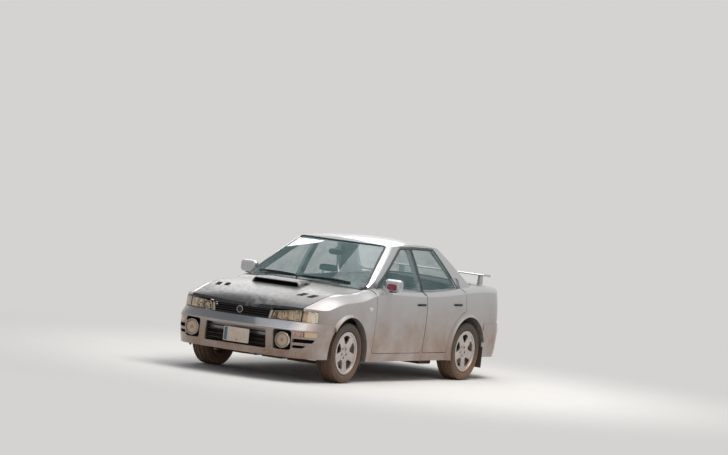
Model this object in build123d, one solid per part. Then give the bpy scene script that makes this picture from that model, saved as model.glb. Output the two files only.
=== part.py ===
"""Four-door rally saloon: body shell, opening panels, glass, lamps, running gear and cabin.

Millimetres. +X is forward, +Y is the car's left and +Z is up. The origin is on the floor, halfway
along the car's length. Left-hand pieces are modelled once and mirrored for the right.
"""

import os
from math import cos, hypot, radians, sin, sqrt, tan

from build123d import *

os.makedirs("parts", exist_ok=True)

# Overall layout
WHEELBASE = 2520
FRONT_AXLE_X = 1310
REAR_AXLE_X = FRONT_AXLE_X - WHEELBASE
REAR_FACE_X = REAR_AXLE_X - 780
REAR_CLEAR_X = REAR_AXLE_X - 1090
TRACK = 1460
WHEEL_Y = TRACK / 2
ROOF_HEIGHT = 1425
SILL_HEIGHT = 215
FLOOR_Z = 236
BOOT_FLOOR_Z = 400

# Wheels, tyres and brakes
TYRE_RADIUS = 305
TYRE_WIDTH = 205
RIM_RADIUS = 203
RIM_WIDTH = 178
SPOKES = 5
DISC_RADIUS = RIM_RADIUS - 63
DISC_WIDTH = 20
DISC_INNER = WHEEL_Y - 5
HUB_RADIUS = 45
HUB_FACE = 38
ARCH_RADIUS = TYRE_RADIUS + 57
FLARE_RADIUS = ARCH_RADIUS + 58
FLARE_OUT = 848

# Panels, walls and gaps
GAP = 5
FIT = 0.3
GLASS = 5
SKIN = 12
LID_THICKNESS = 26
DECK_SKIN = 24
DOOR_THICKNESS = 100
DOOR_SKIN = 14
DOOR_HEM = 12
PILLAR_THICKNESS = 58
WALL = DOOR_THICKNESS + GAP + PILLAR_THICKNESS
ROOF_THICKNESS = 30
UPPER_WALL = 46
REAR_WALL = 85
BUMPER_SKIN = 26
GLASS_SEAL = 12
GLASS_BACK_GAP = 7

# Doors: front edge and rear edge, and the arc of the rear door over the wheel
DOOR_BOTTOM = 300
DOOR_CORNER = 45
FRONT_DOOR = (800, -245)
REAR_DOOR = (-255, REAR_AXLE_X + 90)
REAR_DOOR_ARC = FLARE_RADIUS + 12
FENDER_REAR_X = FRONT_DOOR[0] + GAP
BELT_Z = 915
# Side views of the two door glasses, from the front lower corner over the roof to the rear lower one
FRONT_GLASS = [(740, BELT_Z), (-40, ROOF_HEIGHT - 75), (-248, ROOF_HEIGHT - 69), (-248, BELT_Z)]
REAR_GLASS = [(-262, BELT_Z), (-262, ROOF_HEIGHT - 69), (REAR_AXLE_X + 470, ROOF_HEIGHT - 83)]
REAR_GLASS += [(REAR_AXLE_X + 105, BELT_Z)]
FRONT_SIGHT = [(722, 365), (722, 870), (655, 935), (-60, ROOF_HEIGHT - 93)]
FRONT_SIGHT += [(-205, ROOF_HEIGHT - 87), (-205, 365)]
REAR_SIGHT = [(-305, 365), (-305, ROOF_HEIGHT - 89), (REAR_AXLE_X + 485, ROOF_HEIGHT - 101)]
REAR_SIGHT += [(REAR_AXLE_X + 145, 960), (REAR_AXLE_X + 145, 365)]
DOORS = [(FRONT_DOOR, FRONT_GLASS, FRONT_SIGHT), (REAR_DOOR, REAR_GLASS, REAR_SIGHT)]

# Bonnet, cowl and boot lid
BONNET_FRONT_EDGE_Y = 640
BONNET_REAR_EDGE_Y = 700
BONNET_REAR_X = 905
BONNET_BOW = 95
BONNET_GAP = 7
BONNET_LIP_Z = 692
# Plan of the inner left vent as (x, y), and the steps back and out from it to each vent
VENT = [(1715, 392), (1700, 458), (1585, 490), (1600, 425)]
VENT_SHIFTS = [(0, 0), (15, 111)]
COWL_Y = 640
BOOT_DECK_Y = 600
BOOT_FACE_Y = 470
BOOT_STEP_Z = 872
BOOT_SILL_Z = 622
BOOT_FRONT_X = REAR_AXLE_X - 350
SHELF_Y = 640

# Bumpers and lamps
BUMPER_SHOULDER_Z = 522
BUMPER_TOP_Z = 596
BUMPER_BOTTOM_Z = 240
FRONT_BUMPER_REAR_X = 1600
REAR_BUMPER_FRONT_X = REAR_AXLE_X - 350
LAMP_INNER_Y = 344
LAMP_REAR_X = 1862
TAIL_LAMP = (565, 700, 862)
# Front views of the left bumper slots as (y, z), and the turn lamp above them: inner, outer, low, high
BUMPER_SLOTS = [
    [(622, 398), (772, 400), (788, 436), (622, 436)],
    [(622, 342), (706, 344), (742, 371), (622, 371)],
]
TURN_LAMP = (622, 797, 457, 507)
# Bumper beam (rear x, front x, half width, low z, high z) and its thread for a towing eye (y, z)
BEAM = (2050, 2072, 428, 430, 505)
TOW_THREAD = (-300, 444.5)
TOW_THREAD_RADIUS = 8
WIPER_LIFT = 18
WIPER_Z = 990
# Each wiper: pivot station, pivot y, top of the pivot post, inner and outer end of the blade
WIPERS = [(978, -40, 990, 20, 520), (950, -420, 972, -560, -70)]

# Steering axis of the left front wheel, from the lower ball joint to the strut top
BALL_JOINT = (FRONT_AXLE_X, 660, TYRE_RADIUS - 115)
STRUT_TOP = (1297, 535, 860)
REAR_STRUT = (REAR_AXLE_X - 10, 560, 800)
LINK_RADIUS = 8
BALL_RADIUS = 24
STRUT_RADIUS = 26
RAIL_FRONT_X = 1975
TAIL_PIPE = (-420, 262)
TAIL_PIPE_RADIUS = 30
TUB_INNER_Y = 590
TUNNEL_Z = 275
TUNNEL_RADIUS = 124
ENGINE = (1420, 1850, 340, 305, 760)
SEAT_Y = 370
STEERING_TILT = 25
STEERING_HUB = (400, SEAT_Y, 860)
STEERING_FOOT = (1000, SEAT_Y, 860 - 600 * tan(radians(STEERING_TILT)))
STEERING_RIM = 185

# Plan outlines of the body below the belt, one row per height
# z, front, rear, half width, front bow, front corner, side bow, rear bow, rear corner
BODY_ROWS = [
    (120, 2085, REAR_AXLE_X - 920, 788, 1900, 300, 60000, 2600, 260),
    (300, 2090, REAR_AXLE_X - 920, 824, 1900, 300, 60000, 2600, 260),
    (520, 2095, REAR_AXLE_X - 920, 841, 1900, 300, 60000, 2600, 260),
    (700, 2080, REAR_AXLE_X - 912, 844, 1900, 300, 60000, 2600, 260),
    (860, 2040, REAR_AXLE_X - 894, 832, 1900, 300, 60000, 2600, 260),
    (1060, 1990, REAR_AXLE_X - 862, 796, 1900, 300, 60000, 2600, 260),
]
# The same for the bumpers, below and above their shoulder line
BUMPER_LOW_ROWS = [
    (BUMPER_BOTTOM_Z, 2138, REAR_AXLE_X - 932, 830, 2600, 340, 60000, 3000, 300),
    (330, 2160, REAR_AXLE_X - 950, 838, 2600, 350, 60000, 3000, 300),
    (BUMPER_SHOULDER_Z, 2170, REAR_AXLE_X - 960, 848, 2600, 350, 60000, 3000, 300),
]
BUMPER_TOP_ROWS = [
    (BUMPER_SHOULDER_Z, 2170, REAR_AXLE_X - 960, 848, 2600, 350, 60000, 3000, 300),
    (BUMPER_TOP_Z, 2098, REAR_AXLE_X - 928, 848, 1900, 300, 60000, 3000, 280),
]
# The same for the glasshouse, windscreen in front and rear window behind
GLASSHOUSE_BASE_Z = 850
GLASSHOUSE_RISE = ROOF_HEIGHT + 15 - GLASSHOUSE_BASE_Z
ROOF_ENDS = (82, REAR_AXLE_X + 335)
GLASSHOUSE_ROWS = [
    (GLASSHOUSE_BASE_Z, 1140, REAR_AXLE_X - 532, 781, 2200, 130, 25000, 2500, 160),
    (GLASSHOUSE_BASE_Z + GLASSHOUSE_RISE * 29 / 59, 623, REAR_AXLE_X - 105, 667, 2150, 115, 25000, 2300, 140),
    (GLASSHOUSE_BASE_Z + GLASSHOUSE_RISE, ROOF_ENDS[0], ROOF_ENDS[1], 508, 2100, 100, 25000, 2100, 120),
]
# Cross-sections of the bonnet, belt and boot deck, one row per station
# x, crown z, ridge y, ridge z, outer z
DECK_ROWS = [
    (2150, 640, 560, 612, 540),
    (2070, 728, 600, 696, 590),
    (1940, 793, 632, 748, 630),
    (1650, 872, 650, 833, 665),
    (1310, 922, 665, 886, 700),
    (900, 960, 690, 928, 735),
    (0, 985, 700, 945, 760),
    (REAR_AXLE_X + 110, 1012, 690, 968, 775),
    (REAR_AXLE_X - 340, 1022, 665, 986, 780),
    (REAR_AXLE_X - 790, 1006, 622, 972, 775),
    (REAR_AXLE_X - 940, 990, 600, 955, 765),
]
DECK_OUTER_Y = 885
ROOF_CROWN = 24.36
ROOF_LONG_RADIUS = (ROOF_ENDS[0] - ROOF_ENDS[1]) ** 2 / (8 * ROOF_CROWN)
ROOF_CROSS_RADIUS = 3600
ROOF_APEX_X = (ROOF_ENDS[0] + ROOF_ENDS[1]) / 2 + 46.5
ROOF_SEAM_Y = 452


def box(x0, x1, y0, y1, z0, z1):
    """Box between two corners."""
    return Pos((x0 + x1) / 2, (y0 + y1) / 2, (z0 + z1) / 2) * Box(abs(x1 - x0), abs(y1 - y0), abs(z1 - z0))


def tube_x(x0, x1, y, z, radius):
    """Round bar along X."""
    return Pos((x0 + x1) / 2, y, z) * Rot(0, 90, 0) * Cylinder(radius, abs(x1 - x0))


def tube_y(x, y0, y1, z, radius):
    """Round bar along Y."""
    return Pos(x, (y0 + y1) / 2, z) * Rot(90, 0, 0) * Cylinder(radius, abs(y1 - y0))


def tube_z(x, y, z0, z1, radius):
    """Round bar along Z."""
    return Pos(x, y, (z0 + z1) / 2) * Cylinder(radius, abs(z1 - z0))


def rod(start, end, radius):
    """Round bar between two points."""
    a, b = Vector(*start), Vector(*end)
    return Plane(origin=a, z_dir=b - a) * (Pos(0, 0, (b - a).length / 2) * Cylinder(radius, (b - a).length))


def closed_face(corners, radius=None):
    """Flat face with straight sides and, if asked, one radius at every corner."""
    if radius:
        return make_face(FilletPolyline(*corners, radius=radius, close=True).edges())
    return make_face(Polyline(*corners, close=True).edges())


def side_prism(points, y0, y1, radius=None):
    """Outline drawn in side view as (x, z), carried from y0 to y1."""
    return extrude(closed_face([(x, y0, z) for x, z in points], radius), amount=y1 - y0, dir=(0, 1, 0))


def front_prism(points, x0, x1, radius=None):
    """Outline drawn in front view as (y, z), carried from x0 to x1."""
    return extrude(closed_face([(x0, y, z) for y, z in points], radius), amount=x1 - x0, dir=(1, 0, 0))


def plan_prism(points, z0, z1, radius=None):
    """Outline drawn in plan as (x, y), carried from z0 to z1."""
    return extrude(closed_face([(x, y, z0) for x, y in points], radius), amount=z1 - z0, dir=(0, 0, 1))


def mirrored(shape):
    """The same piece on the car's other side."""
    return mirror(shape, about=Plane.XZ)


def largest(shape):
    """The biggest solid of a cut piece, without the offcuts."""
    return max(shape.solids(), key=lambda s: s.volume)


def fuse_all(shapes):
    """Union of a list of shapes."""
    total = shapes[0]
    for shape in shapes[1:]:
        total = total + shape
    return total


def write(name, *shapes):
    """One STEP file for one named piece, or for a set of like pieces."""
    solids = [s for shape in shapes for s in shape.solids() if s.volume > 50]
    export_step(solids[0] if len(solids) == 1 else Compound(children=solids), f"parts/{name}.step")


def write_pair(name, shape):
    """A left-hand piece and its mirrored right-hand twin, each in its own file."""
    write(f"{name}_left", shape)
    write(f"{name}_right", mirrored(shape))


def corner_arc(side_centre, side_radius, end_centre, end_radius, radius, forward):
    """Arc of a plan corner that is tangent to a side arc and an end arc: its two ends and middle."""
    (ax, ay), (bx, by) = side_centre, end_centre
    reach_a, reach_b = side_radius - radius, end_radius - radius
    gap = hypot(bx - ax, by - ay)
    along = (reach_a**2 - reach_b**2 + gap**2) / (2 * gap)
    across = sqrt(reach_a**2 - along**2)
    ux, uy = (bx - ax) / gap, (by - ay) / gap
    options = [(ax + along * ux + s * across * uy, ay + along * uy - s * across * ux) for s in (1, -1)]
    cx, cy = max(options, key=lambda p: p[0] * forward)

    def away(px, py, length):
        size = hypot(cx - px, cy - py)
        return (px + (cx - px) / size * length, py + (cy - py) / size * length)

    on_side, on_end = away(ax, ay, side_radius), away(bx, by, end_radius)
    mx, my = (on_side[0] + on_end[0]) / 2 - cx, (on_side[1] + on_end[1]) / 2 - cy
    size = hypot(mx, my)
    return on_side, (cx + mx / size * radius, cy + my / size * radius), on_end


def plan_outline(row, inset):
    """Closed plan outline of eight tangent arcs at one height, drawn in by the inset."""
    z, front, rear, half, front_bow, front_corner, side_bow, rear_bow, rear_corner = row
    middle = (front + rear) / 2
    side_centre = (middle, half - side_bow)
    side = side_bow - inset
    least = 20
    f_side, f_mid, f_end = corner_arc(
        side_centre, side, (front - front_bow, 0), front_bow - inset, max(front_corner - inset, least), 1
    )
    r_side, r_mid, r_end = corner_arc(
        side_centre, side, (rear + rear_bow, 0), rear_bow - inset, max(rear_corner - inset, least), -1
    )
    left = [(f_end, f_mid, f_side), (f_side, (middle, half - inset), r_side), (r_side, r_mid, r_end)]
    right = [tuple((x, -y) for x, y in reversed(arc)) for arc in reversed(left)]
    nose = ((f_end[0], -f_end[1]), (front - inset, 0), f_end)
    tail = (r_end, (rear + inset, 0), (r_end[0], -r_end[1]))
    arcs = [nose, *left, tail, *right]
    return Wire([Edge.make_three_point_arc(*[(x, y, z) for x, y in arc]) for arc in arcs])


def plan_loft(rows, inset=0, ruled=False):
    """Solid through a table of plan outlines, every wall drawn in by the inset."""
    return Solid.make_loft([plan_outline(row, inset) for row in rows], ruled)


def deck_section(row, drop):
    """Cross-section under the bonnet, belt or boot surface: crown arc, two shoulder arcs and sides."""
    x, crown_z, ridge_y, ridge_z, outer_z = row
    crown_z, ridge_z, outer_z = crown_z - drop, ridge_z - drop, outer_z - drop
    base_z = 50
    crown_radius = (ridge_y**2 + (crown_z - ridge_z) ** 2) / (2 * (crown_z - ridge_z))
    lean = ridge_y / sqrt(crown_radius**2 - ridge_y**2)
    top = Edge.make_three_point_arc((x, -ridge_y, ridge_z), (x, 0, crown_z), (x, ridge_y, ridge_z))
    left = Edge.make_tangent_arc((x, ridge_y, ridge_z), (0, 1, -lean), (x, DECK_OUTER_Y, outer_z))
    right = Edge.make_tangent_arc((x, -ridge_y, ridge_z), (0, -1, -lean), (x, -DECK_OUTER_Y, outer_z))
    sides = [(DECK_OUTER_Y, outer_z), (DECK_OUTER_Y, base_z), (-DECK_OUTER_Y, base_z), (-DECK_OUTER_Y, outer_z)]
    corners = [(x, y, z) for y, z in sides]
    straight = [Edge.make_line(a, b) for a, b in zip(corners, corners[1:])]
    return Wire([top, left, *straight, right])


def deck(drop=0):
    """Everything below the bonnet, belt and boot surface lowered by the drop."""
    return Solid.make_loft([deck_section(row, drop) for row in DECK_ROWS], False)


def roof_cap(drop=0):
    """Everything below the doubly curved roof surface lowered by the drop."""
    top = ROOF_HEIGHT - drop
    half, base = 800, 800
    edge_z = top - (ROOF_CROSS_RADIUS - sqrt(ROOF_CROSS_RADIUS**2 - half**2))
    x = ROOF_APEX_X
    corners = [(x, half, edge_z), (x, half, base), (x, -half, base), (x, -half, edge_z)]
    crown = ThreePointArc(corners[3], (x, 0, top), corners[0])
    section = make_face([crown.edge(), *Polyline(*corners).edges()])
    axis = Axis((x, 0, ROOF_HEIGHT - ROOF_LONG_RADIUS), (0, 1, 0))
    return revolve(section.rotate(axis, -22), axis, 44)


BODY = plan_loft(BODY_ROWS) & deck()
GLASSHOUSE = plan_loft(GLASSHOUSE_ROWS) & roof_cap()
CABIN = plan_loft(BODY_ROWS, WALL)
UPPER_CABIN = plan_loft(GLASSHOUSE_ROWS, UPPER_WALL) & roof_cap(ROOF_THICKNESS)
ARCH_FRONT = tube_y(FRONT_AXLE_X, 440, 900, TYRE_RADIUS, ARCH_RADIUS)


def bonnet_edge(offset, x):
    """Half width of the bonnet's plan at one station, widened by the offset."""
    run = (BONNET_REAR_EDGE_Y - BONNET_FRONT_EDGE_Y) / (BONNET_REAR_X - 1970)
    return BONNET_REAR_EDGE_Y + run * (x - BONNET_REAR_X) + offset


def bonnet_plan(grow, z0, z1, rear_x=BONNET_REAR_X, front_x=2200):
    """Block over the bonnet's plan, grown by a gap on every side."""
    near, far = bonnet_edge(grow, rear_x), bonnet_edge(grow, front_x)
    rear = rear_x - grow
    sides = Polyline((rear, near, z0), (front_x, far, z0), (front_x, -far, z0), (rear, -near, z0))
    bow = ThreePointArc((rear, -near, z0), (rear + BONNET_BOW, 0, z0), (rear, near, z0))
    return extrude(make_face([*sides.edges(), bow.edge()]), amount=z1 - z0, dir=(0, 0, 1))


def lamp_block(grow):
    """Block that the left headlamp and its corner lamp fill, grown upwards, inwards and back."""
    outline = [(LAMP_INNER_Y - grow, BUMPER_TOP_Z + FIT), (372 - grow, 684 + grow), (642, 716 + grow)]
    outline += [(792, 704 + grow), (900, 694 + grow), (900, BUMPER_TOP_Z + FIT)]
    return front_prism(outline, LAMP_REAR_X - grow, 2200)


def bonnet_scoop():
    """Raised air scoop: a low tapered hump over the middle of the bonnet."""
    sections = []
    for x, half, top in [(1450, 292, 955), (1405, 288, 970), (1180, 250, 968), (1040, 190, 951)]:
        corners = [(-half, 860), (half, 860), (half * 0.93, top - 26), (half * 0.84, top)]
        corners += [(-half * 0.84, top), (-half * 0.93, top - 26)]
        sections.append(Wire(Polyline(*[(x, y, z) for y, z in corners], close=True).edges()))
    return Solid.make_loft(sections, True)


def bonnet():
    """Bonnet skin with its front lip, raised scoop and four slanted vents."""
    skin = (BODY - deck(LID_THICKNESS)) + (BODY & box(2048, 2200, -700, 700, 600, 760))
    block = lamp_block(GAP)
    lid = (skin & bonnet_plan(0, BONNET_LIP_Z, 1000)) - block - mirrored(block)
    lid = lid + (bonnet_scoop() - deck(LID_THICKNESS))
    mouth = front_prism([(-264, 890), (264, 890), (252, 948), (-252, 948)], 1240, 1500, radius=20)
    mouth = mouth & side_prism([(1500, 897), (1310, 925), (1240, 925), (1240, 960), (1500, 960)], -300, 300)
    lid = lid - mouth - box(1240, 1310, -230, 230, 860, 940)
    for side in (1, -1):
        for back, out in VENT_SHIFTS:
            vent = [(x - back, side * (y + out)) for x, y in VENT]
            lid = lid - plan_prism(vent, 700, 1000, radius=12)
    return largest(lid)


def flare(axle_x):
    """Lip round a wheel arch: a cone that stands proud of the panel."""
    r0, r1, z = ARCH_RADIUS, FLARE_RADIUS, TYRE_RADIUS
    corners = [(775, r0), (FLARE_OUT, r0), (FLARE_OUT, r0 + 9), (806, r1), (775, r1)]
    ring = closed_face([(axle_x, y, z + r) for y, r in corners])
    return revolve(ring, Axis((axle_x, 0, z), (0, 1, 0)), 360)


def front_fender():
    """Left fender: thin skin from the door back edge to the lamp, with a flared wheel arch."""
    skin = BODY - (plan_loft(BODY_ROWS, SKIN) & deck(SKIN))
    skin = skin & box(FENDER_REAR_X, 1995, 400, 900, SILL_HEIGHT, 1100)
    skin = skin + (flare(FRONT_AXLE_X) & box(900, 1700, 700, 900, SILL_HEIGHT, 900))
    skin = skin - ARCH_FRONT - bonnet_plan(BONNET_GAP, 500, 1100, rear_x=760)
    return largest(skin - box(FRONT_BUMPER_REAR_X, 2300, 400, 900, 0, BUMPER_TOP_Z + FIT) - lamp_block(GAP))


def bulkhead():
    """Firewall and cowl panel across the car."""
    firewall = box(902, 920, -COWL_Y, COWL_Y, FLOOR_Z + 16, 925) & plan_loft(BODY_ROWS, WALL + FIT) & deck(10)
    cowl = (BODY - deck(DECK_SKIN)) & box(780, 1010, -COWL_Y, COWL_Y, 850, 1000)
    column = rod(STEERING_HUB, STEERING_FOOT, 20 + FIT)
    return ((firewall + cowl) - bonnet_plan(BONNET_GAP, 800, 1100)) - tube_x(800, 1000, 0, 290, 150) - column


def door_block(edges, inset, grow=0):
    """Block that a door fills from the outer skin to the given depth, grown by a gap."""
    front, rear = edges
    low, high = DOOR_BOTTOM - grow, 1060
    corners = [(rear - grow, low), (front + grow, low), (front + grow, high), (rear - grow, high)]
    block = side_prism(corners, 400, 900, radius=DOOR_CORNER)
    if edges == REAR_DOOR:
        block = block - tube_y(REAR_AXLE_X, 300, 950, TYRE_RADIUS, REAR_DOOR_ARC - grow)
    return block - plan_loft(BODY_ROWS, inset)


def door(edges, slot):
    """Door as thick as the body wall: a hemmed outer skin on a narrower inner frame, open above."""
    front, rear = edges
    low, high = DOOR_BOTTOM + DOOR_HEM, 1060
    x0, x1 = rear + DOOR_HEM, front - DOOR_HEM
    inner = side_prism([(x0, low), (x1, low), (x1, high), (x0, high)], 400, 900, radius=DOOR_CORNER)
    inner = inner & plan_loft(BODY_ROWS, DOOR_SKIN - 1)
    if edges == REAR_DOOR:
        inner = inner - tube_y(REAR_AXLE_X, 300, 950, TYRE_RADIUS, REAR_DOOR_ARC + DOOR_HEM)
    inner = inner - plan_loft(BODY_ROWS, DOOR_THICKNESS)
    return largest(((door_block(edges, DOOR_SKIN) + inner) & BODY) - slot)


def door_glass(points):
    """Frameless door glass that drops into a slot in the top of the door."""
    pane = (GLASSHOUSE - plan_loft(GLASSHOUSE_ROWS, GLASS)) & side_prism(points, 300, 900)
    return largest(pane)


def glass_slot():
    """Slot in the belt for the door glass, a little wider than the pane."""
    slot = plan_loft(GLASSHOUSE_ROWS, -FIT) - plan_loft(GLASSHOUSE_ROWS, GLASS + FIT)
    return slot & box(REAR_DOOR[1] - 10, 760, 500, 900, BELT_Z - FIT, 1200)


def glass_recess(points):
    """Room for a door glass in the outside of the pillars and cantrail."""
    (x0, z0), (x1, z1), (x2, z2), (x3, z3) = points
    s = GLASS_SEAL
    grown = [(x0 + s * 1.6, z0), (x1 + s * 0.6, z1 + s), (x2 - s, z2 + s), (x3 - s, z3)]
    recess = side_prism(grown, 300, 900) & box(REAR_AXLE_X - 90, 900, 300, 900, 900, ROOF_HEIGHT + 75)
    return recess - plan_loft(GLASSHOUSE_ROWS, GLASS + GLASS_BACK_GAP)


def screen_frame(outer, inner, x0, x1):
    """Recess and see-through hole for a bonded screen."""
    recess = front_prism(outer, x0, x1, radius=55) - plan_loft(GLASSHOUSE_ROWS, GLASS + 3)
    return recess + front_prism(inner, x0, x1, radius=45)


def trapezoid(low, high, grow=0):
    """Corners of a screen in front view, from its lower and upper half width and height."""
    (y0, z0), (y1, z1) = low, high
    return [(-y0 - grow, z0 - grow), (y0 + grow, z0 - grow), (y1 + grow, z1 + grow), (-y1 - grow, z1 + grow)]


SCREEN = ((708, 930), (499, ROOF_HEIGHT - 59))
REAR_SCREEN = ((657, 1007), (494, ROOF_HEIGHT - 79))
FRONT_ZONE = (0, 1200)
REAR_ZONE = (REAR_AXLE_X - 490, REAR_AXLE_X + 410)
SCREEN_HOLES = screen_frame(trapezoid(*SCREEN, 6), trapezoid(*SCREEN, -18), *FRONT_ZONE)
SCREEN_HOLES += screen_frame(trapezoid(*REAR_SCREEN, 6), trapezoid(*REAR_SCREEN, -18), *REAR_ZONE)


def screen(corners, x0, x1):
    """Bonded windscreen or rear window."""
    pane = GLASSHOUSE - plan_loft(GLASSHOUSE_ROWS, GLASS)
    return largest((pane & front_prism(trapezoid(*corners), x0, x1, radius=50)) - deck(-FIT))


def body_side():
    """Sill, pillars, cantrail and rear quarter of the left side, round two door openings."""
    split = REAR_DOOR[1] - 2 * GAP
    lower = (BODY - CABIN) & box(split, 932, 300, 900, SILL_HEIGHT, 1100)
    quarter = BODY - (plan_loft(BODY_ROWS, REAR_WALL) & deck(DECK_SKIN))
    quarter = quarter & box(REAR_AXLE_X - 930, split, 300, 900, BOOT_FLOOR_Z, 1100)
    quarter = quarter - box(BOOT_FRONT_X + GAP, split, 0, SHELF_Y + FIT, 0, 1100)
    upper = (GLASSHOUSE - UPPER_CABIN) & box(REAR_AXLE_X - 550, 1140, ROOF_SEAM_Y, 900, 900, ROOF_HEIGHT + 75)
    upper = upper - box(REAR_AXLE_X - 550, REAR_AXLE_X + 60, 0, SHELF_Y + FIT, 0, 1010)
    tub = tube_y(REAR_AXLE_X, TUB_INNER_Y - 14, 790, TYRE_RADIUS, ARCH_RADIUS + 14)
    tub = tub & box(REAR_AXLE_X - 490, REAR_AXLE_X + 510, 400, 900, FLOOR_Z + 16, 800)
    x, y, z = REAR_STRUT
    tower = tube_z(x, y, 560, z + 12, 82)
    lip = flare(REAR_AXLE_X) & box(REAR_AXLE_X - 490, REAR_AXLE_X + 510, 700, 900, SILL_HEIGHT, 900)
    side = lower + quarter + upper + tub + tower + lip
    side = side - tube_y(REAR_AXLE_X, TUB_INNER_Y, 900, TYRE_RADIUS, ARCH_RADIUS)
    side = side - tube_z(x, y, 400, z, 68) - tube_z(x, y, z - 1, 900, 12 + FIT)
    side = side - box(REAR_AXLE_X - 180, REAR_AXLE_X + 180, 500, 700, 0, 470)
    side = side - bonnet_plan(BONNET_GAP, 500, 1100)
    side = side - tube_y(FRONT_AXLE_X, 700, 900, TYRE_RADIUS, FLARE_RADIUS + FIT)
    for edges, glass, sight in DOORS:
        opening = side_prism(sight, 300, 900, radius=40)
        if edges == REAR_DOOR:
            opening = opening - tube_y(REAR_AXLE_X, 200, 950, TYRE_RADIUS, REAR_DOOR_ARC + 45)
        side = side - door_block(edges, DOOR_THICKNESS + GAP + FIT, GAP) - opening - glass_recess(glass)
    side = side - SCREEN_HOLES - boot_block(GAP) - tail_block(FIT)
    fender_zone = box(FENDER_REAR_X, 1200, 500, 900, 0, 1100)
    side = side - (fender_zone - (plan_loft(BODY_ROWS, SKIN + FIT) & deck(SKIN + FIT)))
    side = side - box(REAR_CLEAR_X, REAR_BUMPER_FRONT_X, 700, 900, 0, BUMPER_TOP_Z + FIT)
    side = side - box(REAR_CLEAR_X, REAR_FACE_X + 40, 0, 900, 0, BUMPER_TOP_Z + FIT)
    side = side - box(REAR_CLEAR_X, REAR_FACE_X, 0, BOOT_FACE_Y + 60, 0, 1100)
    return largest(side - box(760, 1100, 0, COWL_Y + FIT, 0, 1100))


def roof_panel():
    """Roof skin with its front and rear headers, between the two cantrails."""
    half = ROOF_SEAM_Y - FIT
    zone = box(REAR_AXLE_X + 10, 400, -half, half, ROOF_HEIGHT - 125, ROOF_HEIGHT + 75)
    return largest(((GLASSHOUSE & zone) - UPPER_CABIN) - SCREEN_HOLES)


def boot_block(grow):
    """Block of the boot lid: the deck and, narrower, the rear face."""
    wide, narrow = BOOT_DECK_Y + grow, BOOT_FACE_Y + grow
    top = box(REAR_CLEAR_X, BOOT_FRONT_X + grow, -wide, wide, BOOT_STEP_Z - grow, 1100)
    face = box(REAR_CLEAR_X, REAR_FACE_X, -narrow, narrow, BOOT_SILL_Z - grow, 1100)
    return top + face


def boot_lid():
    """Boot lid: one skin folded from the deck over to the rear face."""
    inner = plan_loft(BODY_ROWS, LID_THICKNESS + 14) & deck(LID_THICKNESS)
    return largest((BODY - inner) & boot_block(0))


def spoiler():
    """Low spoiler on the boot lid: an arched blade on two feet."""
    blade = [(-886, 1062), (-730, 1074), (-715, 1084), (-735, 1092), (-888, 1084)]
    foot = [(-850, 900), (-765, 900), (-775, 1075), (-840, 1075)]
    blade = side_prism([(REAR_AXLE_X + x, z) for x, z in blade], -560, 560)
    foot = side_prism([(REAR_AXLE_X + x, z) for x, z in foot], 0, 26)
    feet = foot.moved(Location((0, 470, 0))) + foot.moved(Location((0, -496, 0)))
    return blade + (feet - deck(-FIT))


def tail_block(grow):
    """Block of a tail lamp in the rear corner."""
    inner, low, high = TAIL_LAMP
    return box(REAR_CLEAR_X, REAR_FACE_X + 5 + grow, inner - grow, 900, low - grow, high + grow)


def tail_lamp():
    """Wrap-round tail lamp."""
    return largest((BODY - plan_loft(BODY_ROWS, 60)) & tail_block(0))


def rear_panel():
    """Panel under the boot lid, between the two rear corners."""
    half = BOOT_FACE_Y + 60 - FIT
    panel = BODY & box(REAR_CLEAR_X, REAR_FACE_X, -half, half, BOOT_FLOOR_Z + 16 + FIT, BOOT_STEP_Z)
    behind_bumper = box(REAR_CLEAR_X, REAR_FACE_X, -900, 900, 0, BUMPER_TOP_Z + FIT) - plan_loft(BODY_ROWS, 40)
    return largest(panel - plan_loft(BODY_ROWS, 70) - behind_bumper - boot_block(GAP))


def parcel_shelf():
    """Shelf under the rear window, running back to the boot lid."""
    shelf = (BODY - deck(DECK_SKIN)) & box(BOOT_FRONT_X + GAP, REAR_AXLE_X + 60, -SHELF_Y, SHELF_Y, 900, 1100)
    return largest(shelf)


def bumper_shell():
    """Full-length bumper form with the body's room taken out."""
    outer = plan_loft(BUMPER_LOW_ROWS, 0, True) + plan_loft(BUMPER_TOP_ROWS, 0, True)
    rows = [(z - 1 if z == BUMPER_BOTTOM_Z else z, *rest) for z, *rest in BUMPER_LOW_ROWS]
    top = [(z + 1 if z == BUMPER_TOP_Z else z, *rest) for z, *rest in BUMPER_TOP_ROWS]
    return outer - (plan_loft(rows, BUMPER_SKIN, True) + plan_loft(top, BUMPER_SKIN, True))


def turn_lamp_outline(inset):
    """Front view of the left turn lamp in the bumper, drawn in by the inset."""
    inner, outer, low, high = TURN_LAMP
    corners = [(inner + inset, low + inset), (outer - inset, low + inset)]
    return [*corners, (outer - inset, high - inset), (inner + inset, high - inset)]


def turn_lamp():
    """Turn lamp that lies a little under the bumper's face, above the two slots."""
    layer = plan_loft(BUMPER_LOW_ROWS, 2, True) - plan_loft(BUMPER_LOW_ROWS, 22, True)
    return largest(layer & front_prism(turn_lamp_outline(FIT), 1700, 2300, radius=7 - FIT))


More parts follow.
